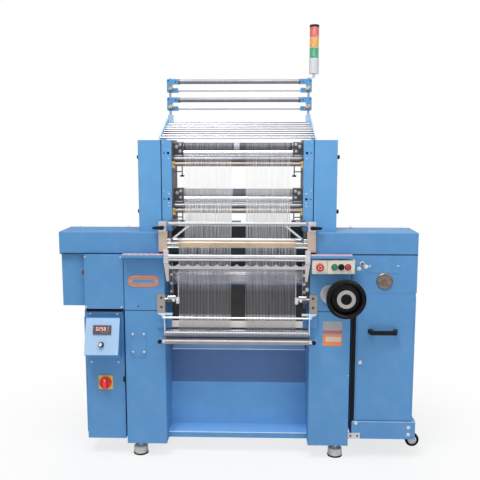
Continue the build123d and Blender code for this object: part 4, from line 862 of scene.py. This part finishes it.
dress_faces("cabinet_door", [sky_blue, black_plastic, cream_plastic], door_zone)
build("latch_key_ring", satin_steel, [
    (lathe, stand(door.x0 + 16, door_face - 8.0, 539),
     [(7.2, -0.2), (7.2, 0.5), (6.4, 0.9), (2.2, 0.9), (2.0, 0.1), (0.2, 0.1)], 24)], body="cabinet_door")

# Plinth and caster: the plinth is a folded tray bolted to the cabinet, and carries a swivel caster.
# Hexagon bolts with washers and the caster's fork are zinc plated, its tyre is black rubber.
plinth = box_mm("cabinet_plinth")
build("plinth_bolts", satin_steel, [
    (hex_bolt, stand(x, plinth.y0, z), 7.5, 7)
    for x, z in ((plinth.x1 - 36, 180), (plinth.x1 - 36, 141), (634, 202))])
build("plinth_lip", pale_blue, [
    (bar, 613, plinth.x1 - 1, plinth.y0 - 1.2, plinth.y0 + 1, 208, 212.5, 1.0)])
dress(satin_steel, "caster_fork")
dress(black_rubber, "caster_wheel")
caster = box_mm("caster_wheel")
build("caster_hub_rings", satin_steel, [
    (lathe, stand(caster.x, y, caster.z, facing), [(24, -0.4), (24, 0.4), (21, 0.8), (9, 0.8), (8, 0.2)], 32)
    for y, facing in ((caster.y0, "front"), (caster.y1, "back"))], body="caster_wheel")

# Drive inside the cabinet: a ribbed motor in machine grey, fixed inside the cabinet.
# Iron pulleys and a rubber belt take its turn up to the main shaft.
grey_paint = painted("machine_grey", (0.26, 0.28, 0.30))
iron = metal("pulley_iron", (0.34, 0.34, 0.35), 0.45, brush=(120, 120, 120))
dress(grey_paint, "main_motor")
dress(iron, "main_pulley", "motor_pulley")
dress(black_rubber, "drive_belt")

# Electric cabinet door: coated sheet with a sloped operator box, its sloped front painted a paler blue as
# painted light.
# The box carries a digital counter and a speed knob, the door a main switch on a yellow plate.
panel = box_mm("electric_door")
panel_face = panel.y1 - 3.0
slope_top_y, slope_top_z = panel_face - 28.0, 772.0
slope_run, slope_rise = 68.0, 180.0
slope_lean = -math.degrees(math.atan2(slope_run, slope_rise))


def slope_reach(y, z):
    """How far a point stands out of the operator box's sloped face."""
    across = (slope_top_y - y) * slope_rise + (z - slope_top_z) * slope_run
    return across / math.hypot(slope_run, slope_rise)


def on_slope(x, z, out=0.0):
    """A local frame on the sloped face at a height."""
    y = slope_top_y - slope_run * (slope_top_z - z) / slope_rise
    return shifted(stand(x, y, z, "front", slope_lean), 0, 0, out)


def electric_zone(x, y, z):
    """Which finish a face of the electric door has: coat, operator box in painted light, counter bezel or
    switch plate.
    """
    if y > panel_face - 0.3 or x < -804:
        return 0
    if 370 < z < 455:
        return 3
    if slope_reach(y, z) > 0.3 and 670 < z < 760:
        return 2
    return 1 if z > 540 and slope_reach(y, z) > -0.6 else 0


bezel_grey = moulded("bezel_grey", (0.105, 0.095, 0.115), 0.42, shine=0.2)
switch_yellow = moulded("switch_yellow", (0.86, 0.50, 0.015), 0.38, coat=0.2)
dress_faces("electric_door", [sky_blue, pale_blue, bezel_grey, switch_yellow], electric_zone)
counter_spot = on_slope(panel.x, 714, 6.0)
smoked, smoked_tree, smoked_shader = finish_material("smoked_window")
smoked_dust = noise(120.0, 3.0, stretched(smoked_tree))
smoked_share = remap(smoked_dust, 0.4, 0.8, 0.0, 0.5)
fill(smoked_shader, {
    "Base Color": blend_colour(smoked_share, (0.10, 0.065, 0.07), (0.20, 0.15, 0.16)),
    "Roughness": remap(smoked_dust, 0.3, 0.7, 0.1, 0.22),
})
build("counter_window", smoked, [(slab, counter_spot, rounded_outline(84, 36, 2), 0.6, 0.2)],
      body="electric_door")

# Counter digits: four seven-segment figures and three lamps glow behind the window.
# Under them a row of small keys sits in the bezel.
glow_red, glow_tree, glow_shader = finish_material("red_segments")
glow_share = noise(300.0, 1.0, stretched(glow_tree))
fill(glow_shader, {
    "Base Color": (0.9, 0.30, 0.26),
    "Emission Color": blend_colour(glow_share, (1.0, 0.60, 0.54), (1.0, 0.80, 0.74)),
    "Emission Strength": 1.1,
})
lying, upright = rounded_outline(6.4, 1.8, 0.6, 2), rounded_outline(1.8, 6.4, 0.6, 2)
segments = {
    "a": (0, 8, lying), "b": (4, 4, upright), "c": (4, -4, upright), "d": (0, -8, lying),
    "e": (-4, -4, upright), "f": (-4, 4, upright), "g": (0, 0, lying)}
digit_shapes = []
for column, figure in enumerate(("abcdef", "abged", "afgcd", "abcdefg")):
    for right, up, outline in [segments[letter] for letter in figure]:
        digit_shapes.append((
            slab, shifted(counter_spot, -25 + 13.5 * column + right, 5 + up, 0.5), outline, 0.35, 0.1))
for lamp in range(3):
    digit_shapes.append((
        lathe, shifted(counter_spot, 33, 12 - 7 * lamp, 0.5), [(1.6, 0), (1.6, 0.3), (0.2, 0.45)], 10))
build("counter_digits", glow_red, digit_shapes, body="electric_door")
build("counter_keys", moulded("key_grey", (0.25, 0.25, 0.27), 0.45), [
    (slab, shifted(counter_spot, -6 + 11 * key, -12.5, 0.4), rounded_outline(7.5, 4.5, 1.2, 3), 1.2, 0.4)
    for key in range(4)], body="electric_door")

# Speed knob: a black skirt with a turned bright cap, over a ring of dial ticks.
# The knob turns on the operator box's sloped face.
dress(black_plastic, "speed_knob")
knob_z = 642
dial_spot = on_slope(panel.x, knob_z)
build("speed_dial_ticks", moulded("tick_white", (0.78, 0.80, 0.82), 0.5), [
    (slab, shifted(dial_spot @ Matrix.Rotation(math.radians(-150 + 30 * tick), 4, "Z"), 0, 20.5),
     rounded_outline(1.0, 4.0 if tick % 5 else 6.0, 0.3, 2), 0.35, 0.1)
    for tick in range(11)], body="electric_door")
turned_cap = metal("turned_cap", (0.78, 0.78, 0.79), 0.22, brush=(300, 300, 300))
build("speed_knob_cap", turned_cap, [
    (lathe, on_slope(panel.x, knob_z, 18.5),
     [(9.2, -0.3), (9.2, 0.8), (8.4, 1.4), (7.4, 1.0), (0.2, 0.8)], 36)], body="speed_knob")

# Main switch: a red rotary handle on the yellow plate, with a raised grip and a pale pointer.
# The plate has four small screws.
switch_red = moulded("switch_red", (0.80, 0.018, 0.008), 0.28, coat=0.2, shine=0.25)
dress(switch_red, "main_switch")
switch = box_mm("main_switch")
build("switch_pointer", pale_mark, [
    (slab, stand(switch.x, switch.y0, switch.z + 19), rounded_outline(3.2, 14, 1.5, 3), 0.5, 0.2)],
    body="main_switch")
build("switch_ribs", switch_red, [
    (slab, stand(switch.x + side * 21, switch.y0 + 14.2, switch.z - 9 + 9 * rib),
     rounded_outline(12, 3, 1.4, 3), 1.6, 0.6)
    for side in both_sides for rib in range(3)], body="main_switch")
build("switch_plate_screws", satin_steel, [
    (pan_screw, stand(switch.x + side * 33, panel_face - 4, switch.z + rise * 33), 2.6, 1.3)
    for side in both_sides for rise in (-1, 1)], body="electric_door")

# Operator box screws and door latch: pan screws hold the box at its top and foot.
# A black quarter-turn latch sits at the door's free edge.
build("operator_box_screws", satin_steel, [
    (pan_screw, stand(panel.x + side * 72, panel_face, z), 5.5, 4)
    for side in both_sides for z in (788, 524)], body="electric_door")
build("electric_latch", black_plastic, [
    (slab, stand(panel.x1 - 4.6, panel_face, 429), rounded_outline(9, 30, 3), 3.5, 1.0)],
    body="electric_door")
dress(grey_paint, "inverter")

# Shelves: folded ledges over the controls, edged with red and white hazard tape.
# The tape is a printed film stuck on the top face.
shelf_top = box_mm("shelves").z1
film, film_tree, film_shader = finish_material("hazard_film")
film_axes = axes(film_tree)
film_phase = calc("FRACT", calc("MULTIPLY", calc("ADD", film_axes["X"], film_axes["Y"]), 34.0))
film_band = remap(calc("ABSOLUTE", calc("SUBTRACT", film_phase, 0.5)), 0.24, 0.26, 0.0, 1.0)
film_tone = blend_colour(film_band, (0.62, 0.12, 0.10), (0.80, 0.77, 0.76))
film_dust = noise(90.0, 3.0, stretched(film_tree))
fill(film_shader, {
    "Base Color": blend_colour(remap(film_dust, 0.45, 0.8, 0.0, 0.35), film_tone, (0.55, 0.50, 0.50)),
    "Roughness": remap(film_dust, 0.3, 0.7, 0.35, 0.55),
})
build("hazard_tapes", film, [
    (slab, stand(side * 485, -31, shelf_top, "top"), rounded_outline(208, 54, 2), 0.4, 0.15)
    for side in both_sides])

# Tower seals, holes and screws: a black rubber edge runs up between each tower channel and its cover.
# The channel's front face shows bearing bores, plugs and plated screw heads.
tower_front = 60
bore_profile = [(6.5, 0), (6.5, 0.8), (5.6, 1.1), (5.0, 0.3), (0.2, 0.2)]
hole_profile = [(3.6, 0), (3.6, 0.6), (3.0, 0.8), (2.6, 0.2), (0.2, 0.2)]
build("tower_seals", black_rubber, [
    side_bar(side, 393.2, 395.8, 57.5, 66, 1229, 1699, 0.8) for side in both_sides])
build("tower_bores", black_rubber, [
    (lathe, stand(side * x, tower_front, z), profile)
    for side in both_sides for z in (1634, 1396)
    for x, profile in ((358, bore_profile), (380, hole_profile))])
build("tower_screws", satin_steel, [
    (pan_screw, stand(side * x, tower_front, z), radius, height)
    for side in both_sides
    for x, radius, height, levels in (
        (357, 4.2, 3.0, (1604, 1424, 1376, 1360)), (383, 3.2, 2.2, (1688, 1440)))
    for z in levels])

# Cover screws: plated cap nuts on short studs hold the top covers down.
# They stand in a row along each cover's rear edge.
cover_top = box_mm("top_covers").z1
build("cover_cap_nuts", satin_steel, [
    (cap_nut, stand(x, 215, cover_top, "top"), 7.0, 12) for x in (-873, -603, 611, 883)])

# Signal light: three ribbed lenses in green, amber and red over a grey base with a black cap.
# The lenses are clear coloured plastic that lets light deep in.
light_grey = moulded("light_grey_plastic", (0.60, 0.62, 0.64), 0.4)
dress_faces("signal_light_base", [light_grey, black_plastic, satin_steel],
            lambda x, y, z: 1 if z > 2312 else 2 if z < 2068 else 0)
rib_count = 9
for lens_name, lens_colour, lens_glow in (
        ("green", (0.03, 0.36, 0.16), (0.14, 0.58, 0.32)), ("amber", (0.82, 0.36, 0.05), (0.92, 0.56, 0.16)),
        ("red", (0.68, 0.06, 0.05), (0.84, 0.20, 0.16))):
    lens = lens_name + "_lens"
    lens_finish, lens_tree, lens_shader = finish_material(lens + "_glass")
    lens_core = noise(60.0, 2.0, stretched(lens_tree, (1, 1, 0.2)))
    fill(lens_shader, {
        "Base Color": blend_colour(remap(lens_core, 0.3, 0.7, 0.0, 1.0), lens_colour, lens_glow),
        "Roughness": remap(lens_core, 0.3, 0.7, 0.12, 0.22),
        "Subsurface Weight": 0.35,
        "Subsurface Radius": (0.01, 0.01, 0.01),
        "Coat Weight": 0.5,
    })
    dress(lens_finish, lens)
    lens_box = box_mm(lens)
    lens_half = lens_box.z1 - lens_box.z
    rib_levels = [-lens_half + 2 * lens_half * (rib + 0.5) / rib_count for rib in range(rib_count)]
    rib_profile = [
        (radius, level + rise) for level in rib_levels
        for radius, rise in ((25.4, -2.4), (26.6, -1.2), (26.6, 1.2), (25.4, 2.4))]
    build(lens + "_ribs", lens_finish, [
        (lathe, stand(lens_box.x, lens_box.y, lens_box.z, "top"), rib_profile, 40)], smooth_below=50)
build("lens_seams", light_grey, [
    (lathe, stand(lens.x, lens.y, lens.z0, "top"), [(26.0, -1.4), (26.9, -1.0), (26.9, 1.0), (26.0, 1.4)], 40)
    for lens in (box_mm("amber_lens"), box_mm("red_lens"))])

# Tray, rear shield and tie tube: folded sheet between the pillars, coated blue below; the tray's upper back
# is painted in shade, its slope and floor lighter as painted light.
# Above the tray a dark sheet closes the back, its colour painted shade, with a bright tube across in front of
# it.
shield, shield_tree, shield_shader = finish_material("shaded_shield")
shield_cloud = noise(1.0, 4.0, stretched(shield_tree, (14, 14, 40)))
shield_level = calc("ADD", axes(shield_tree)["Z"], remap(shield_cloud, 0.3, 0.7, -0.03, 0.03))
shield_share = remap(shield_level, 0.85, 0.93, 0.0, 1.0)
# Painted shade: the shield is brownish low and dark teal higher, for the shaded parts behind the tapes.
shield_tone = blend_colour(shield_share, (0.085, 0.068, 0.055), (0.022, 0.045, 0.058))
fill(shield_shader, {
    "Base Color": blend_colour(remap(shield_cloud, 0.45, 0.7, 0.0, 0.5), shield_tone, (0.05, 0.05, 0.06)),
    "Roughness": remap(shield_cloud, 0.3, 0.7, 0.32, 0.55),
})
bump_normal(shield_shader, shield_cloud, 0.15, 0.001, 0.001)
# Painted shade and light: one blue coat in three tones, darkest on the upper back, lighter on the slope,
# lightest on the floor.
tray_shade = painted("tray_upper_shade_coat", (0.045, 0.150, 0.385))
tray_slope_lit = painted("tray_slope_lit_coat", (0.045, 0.35, 0.76))
tray_floor_lit = painted("tray_floor_lit_coat", (0.085, 0.42, 0.90), 0.36)


def back_zone(x, y, z):
    """Shield and tray back in painted shade, tie tube, slope and floor in painted light, or the beam's plain
    coat.
    """
    if math.hypot(y - 160, z - 965) < 46:
        return 2
    if z > 684:
        return 1
    if z > 550 and y > 320:
        return 0
    if z > 348:
        return 3
    if z < 166:
        return 0 if y < 62 else 5
    return 4


dress_faces("cross_members", [sky_blue, shield, tube_steel, tray_shade, tray_slope_lit, tray_floor_lit], back_zone)

# Needle bar: a thin milled carrier behind the tapes, which slides up and down with its needles.
# It is blued to keep the oil on it.
dress(metal("blued_steel", (0.030, 0.070, 0.085), 0.38, stain=0.5, metallic=0.6), "needle_bar")

# Tower inner faces and bearing fittings: the towers' inner faces are coloured dark grey, where the bearing
# blocks sit; the other faces take a lighter copy of the blue coat as painted light.
# Bolts, collars and a clamp strip hold each block.
inner_grey = painted("inner_grey_coat", (0.105, 0.105, 0.115), 0.5)
# Painted light: a lighter copy of the housings' blue on the high towers.
tower_lit_blue = painted("tower_lit_coat", (0.032, 0.305, 0.675))
dress_faces("towers", [tower_lit_blue, inner_grey], lambda x, y, z: 1 if abs(x) < 341 else 0)
block_front = 154.5
stud_profile = [(8, 0), (8, 9), (6.5, 11), (4, 11), (4, 22), (0.2, 22)]
journal = [(14, 0), (14, 2.4), (12.6, 3.4), (9.4, 3.4)]
inward = {-1: "right", 1: "left"}
build("bearing_fittings", satin_steel, [
    shape for side in both_sides for z in feed_heights.values() for shape in (
        (hex_bolt, stand(side * 326, block_front, z - 2), 7.5, 10),
        (hex_bolt, stand(side * 307, block_front, z - 26), 6.0, 9),
        (lathe, stand(side * 306, block_front, z + 8), stud_profile),
        side_bar(side, 296, 336, block_front - 7, block_front, z - 52, z - 46),
        (lathe, stand(side * 292, feed_y, z, inward[side]), journal),
        (lathe, stand(side * 292, press_y, z - press_drop, inward[side]), journal))])
build("tube_sockets", dark_casting, [
    shape for side in both_sides for z in feed_heights.values() for shape in (
        *((lathe, stand(side * 340, tube_y, z - drop, inward[side]),
           [(bore + 5, 0), (bore + 5, 6), (bore + 3.6, 7.4), (bore + 0.2, 7.4)])
          for tube_y, drop, bore in ((110, 67, 14), (90, 92, 11.5))),
        (pan_screw, stand(side * 330, 71, z - 92), 4.0, 4.0))])

# Selvedge clamps: small steel jaws on rods at both web edges, set with a lever and a screw.
# They keep the tapes' outer edges at the same width.
build("selvedge_jaws", bright_bar, [
    shape for side in both_sides for shape in (
        side_bar(side, 301, 317, -17, -11, 856, 890, 2.0),
        side_bar(side, 303, 306.5, -16, -13, 888, 1022, 1.0),
        side_bar(side, 320, 362, -15, -8, 886, 897, 2.0),
        (hex_bolt, stand(side * 331, -14, 874), 6.0, 8),
        (hex_bolt, stand(side * 309, -17, 873), 4.5, 5))])
build("selvedge_blocks", dark_casting, [
    shape for side in both_sides for shape in (
        side_bar(side, 322, 371, -13, 4, 862, 878, 2.0),
        (lathe, stand(side * 352, -13, 868), [(9, 0), (9, 5), (7, 7), (3, 7), (3, 12), (0.2, 12)]))])

# Side guides: upright flat steel bars bolted to the heads' inner faces.
# The right ones carry round bosses for the cam levers of the guide bar.
build("side_guides", dark_casting, [
    (bar, -356, -344, 60, 66, 850, 1060, 1.0), (bar, 346, 360, 52, 62, 820, 1062, 1.0),
    (bar, 362, 376, 30, 60, 880, 1050, 1.5)])
build("side_guide_bolts", satin_steel, [
    *(shape for z in (905, 948, 996, 1036) for shape in (
        (hex_bolt, stand(353, 52, z), 6.5, 8), (hex_bolt, stand(-350, 60, z), 5.0, 6))),
    (bar, -343.6, -341.4, 58, 68, 852, 1058, 0.5), (bar, 341.4, 343.8, 50, 60, 852, 1058, 0.5),
    (lathe, stand(366, 30, 925), [(11, 0), (11, 6), (9, 8), (5, 8), (5, 13), (0.3, 13)]),
    (lathe, stand(367, 30, 1012), [(8, 0), (8, 5), (6, 7), (0.3, 7)])])

# Levelling feet: turned steel discs on threaded stems, plated with zinc.
# Each stands on a black rubber sole.
foot_zinc = metal("foot_zinc", (0.80, 0.78, 0.71), 0.5, stain=0.5, metallic=0.2)
dress_faces("levelling_feet", [foot_zinc, black_rubber], lambda x, y, z: 1 if z < 8.5 else 0)

# Cabinet edge strip: a flat black strip lies in the gap between the right pillar and the cabinet door.
# Plated screws sit beside it and on the head box's outer side.
build("cabinet_edge_strip", black_rubber, [(bar, 600.5, 624, 18.4, 20.6, 214, 906, 0.8)])
build("edge_screws", satin_steel, [
    (pan_screw, stand(586, 0, 470), 4.0, 3.0),
    *((pan_screw, stand(935, 60, z, "right"), 6.0, 5.0) for z in (1066, 927))])

# Label place: the right pillar's label is printed film, stuck on.
# It is left as plain fields, with nothing written on them.
for field, field_colour, field_x, field_z, field_width, field_height, level in (
        ("label_grey_field", (0.36, 0.36, 0.38), 0, 738.5, 100, 49, 0.0),
        ("label_red_field", (0.62, 0.075, 0.03), 0, 707, 100, 13, 0.0),
        ("label_orange_field", (0.80, 0.22, 0.035), 0, 662, 100, 61, 0.0),
        ("label_pale_field", (0.66, 0.50, 0.42), 4, 667, 80, 27, 0.3)):
    build(field, moulded(field, field_colour, 0.45, bump=0.04), [
        (slab, shifted(stand(499.5, 0, 0), field_x, field_z, level),
         rounded_outline(field_width, field_height, 1.5, 3), 0.3, 0.1)])

# Wing nuts of the rod clamps: cast brass wings on the round nuts of the clamps.
# Each nut locks a clamp to its post by hand.
build("clamp_wings", brass, [
    (slab, stand(side * 377.5 + wing * 9, 357, z + wing * 4), rounded_outline(9, 12, 4), 3.4, 1.0)
    for side in both_sides for z in (1985, 1886) for wing in (-1, 1)])

# Cover tops: the flat tops of the two covers are coloured a greyer blue than their sides.
# The sides keep the housings' own blue.
cover_top_blue = painted("grey_cover_top", (0.075, 0.225, 0.43), 0.6)
dress_faces("top_covers", [sky_blue, cover_top_blue], lambda x, y, z: 1 if z > cover_top - 0.4 else 0)

# Tray edges: the folds at the tray's ledge and front lip carry painted highlights.
# Each is a thin bright line along the bend, and over the ledge runs a band of paler coat as painted light in
# the shade there.
build("tray_edge_highlights", pale_arm, [
    (bar, -374, 374, 233.8, 235.4, 534.5, 540.4, 0.7), (bar, -374, 374, 58.8, 60.8, 119.5, 124.8, 0.8)])
build("tray_top_band", painted("tray_top_light_coat", (0.105, 0.295, 0.645)), [
    (bar, -372, 372, 234.2, 235.4, 541, 606, 0.5)])

# Electric door top shade strip: a black strip is painted shade in the gap under the gear box.
# It lies along the door's upper edge.
build("electric_top_shade_strip", black_rubber, [
    (bar, panel.x0 + 12, panel.x1 - 3, panel_face - 1.2, panel_face + 0.4,
     panel.z1 - 8.0, gear.z0 - 1.0, 0.6)], body="electric_door")

# Bed end fittings: steel blocks clamp the needle bed's ends, with short tie rods to the end plates.
# Dark comb plates over the top bar keep stray yarns off the bearings.
build("bed_end_fittings", ground_steel, [
    shape for side in both_sides for shape in (
        side_bar(side, 312, 340, 13, 25.4, 1144, 1178, 1.5),
        side_bar(side, 340, 358, 13, 25.4, 1146, 1163, 1.5),
        *((lathe, stand(side * 301, 5, z, inward[-side]), [(3.0, 0), (3.8, 1), (3.8, 60), (0.2, 60.5)], 14)
          for z in (1191, 1171, 1149)),
        (hex_bolt, stand(side * 326, 13, 1161), 6.0, 7))])
build("comb_plates", dark_casting, [
    *(shape for side in both_sides for shape in (
        side_bar(side, 280, 352, 34, 60, 1283, 1289, 0.8),
        side_bar(side, 343, 360, 26, 44, 1196, 1232, 2.0),
        (lathe, stand(side * 331, 5, 1191, inward[-side]), [(6.5, 0), (6.5, 12), (5.4, 13)], 18))),
    (bar, -27, 20, 30, 40, 1278, 1287, 0.8)])

# End plate shade strips: black strips under the tan end plates, where they stand on the shelves, are painted
# shade.
# Each lies in the dark gap at a plate's foot.
build("end_plate_shade_strips", black_rubber, [
    side_bar(side, 364, 405, -9, -0.5, 1119, 1126.5, 1.0) for side in both_sides])

# Rod clamp fittings: dark collars where the thick yarn rods enter the clamps, and black socket screws.
# The screws close each clamp on its rod.
rod_collar = [(14.6, 0), (14.6, 7), (13.4, 8.4), (12.6, 8.4)]
build("rod_clamp_fittings", dark_casting, [
    shape for side in both_sides for z in (2022, 1923) for shape in (
        (lathe, stand(side * 338, 380, z, inward[side]), rod_collar, 28),
        (pan_screw, stand(side * 393, 366, z + 5), 4.4, 2.6),
        (pan_screw, stand(side * 352, 366, z), 4.0, 2.4),
        (pan_screw, stand(side * 352, 366, z - 45), 3.4, 2.2))])

# Dock bolts: two blackened hexagon bolts hold the dock plate to the plinth.
# The plate itself is bright flat bar.
build("dock_bolts", dark_casting, [
    (hex_bolt, stand(x, plinth.y0 - 6, 134), 6.0, 6) for x in (606, 642)])

# Bar edge highlights: bright strips along the upper edges of the top bar and the front bar are painted
# highlights.
# Dark lines along the twin bars' lower edges are painted shade.
build("bar_edge_highlights", glazed_tube, [
    (bar, -354, 354, 9.0, 10.4, 1272, 1280.6, 0.5), (bar, -371, 371, -68.8, -67.6, 669.5, 675.6, 0.5)])
build("twin_bar_shade_lines", dark_casting, [
    (bar, -358, 358, -42.7, -41.4, low, high, 0.4) for low, high in ((1084.6, 1088.4), (1098.8, 1102.2))])

# Rear covers: screwed sheet covers on the backs of the heads, the drive cabinet and the electric cabinet.
# Pressed louvres let the drive breathe, and black glands on the electric cabinet take the supply cables.
cabinet_back = box_mm("right_cabinet").y1
case = box_mm("electric_cabinet")
head_back = 300
rear_covers = [
    (stand(x, y, z, "back"), width, height) for x, y, z, width, height in (
        (485, head_back, 962, 168, 236), (-485, head_back, 962, 168, 236), (765, cabinet_back, 700, 250, 330),
        (panel.x, case.y1, 590, 150, 330))]
build("rear_covers", sky_blue, [
    (slab, spot, rounded_outline(width, height, 8), 2.0, 0.6) for spot, width, height in rear_covers])
build("rear_cover_screws", satin_steel, [
    *((pan_screw, shifted(spot, across * (width / 2 - 10), rise * (height / 2 - 10), 1.9), 4.5, 3.0)
      for spot, width, height in rear_covers for across in (-1, 1) for rise in (-1, 0, 1)),
    *((pan_screw, stand(side * 340, head_back, z, "back"), 5.0, 3.2)
      for side in both_sides for z in (1180, 1060, 940, 820))])
louvre_rows = [22 * row for row in range(6)]
louvre_spots = [
    *(stand(x, cabinet_back, 300 + rise, "back") for x in (700, 830) for rise in louvre_rows),
    *(stand(case.x0, (30 + case.y1) / 2, 610 + rise, "left") for rise in louvre_rows)]
build("louvres", sky_blue, [
    (slab, spot, rounded_outline(104, 10, 4.6), 4.0, 2.4) for spot in louvre_spots])
build("louvre_slots", black_rubber, [
    (slab, shifted(spot, 0, -6.6), rounded_outline(98, 3, 1.4), 0.4, 0.1) for spot in louvre_spots])
gland_profile = [(15, 0), (15, 5), (12, 6), (12, 17), (10, 21), (5.5, 21), (5, 12), (0.3, 12)]
build("cable_glands", black_plastic, [
    (lathe, stand(panel.x + x, case.y1, 320, "back"), gland_profile, 20) for x in (-42, 0, 42)])
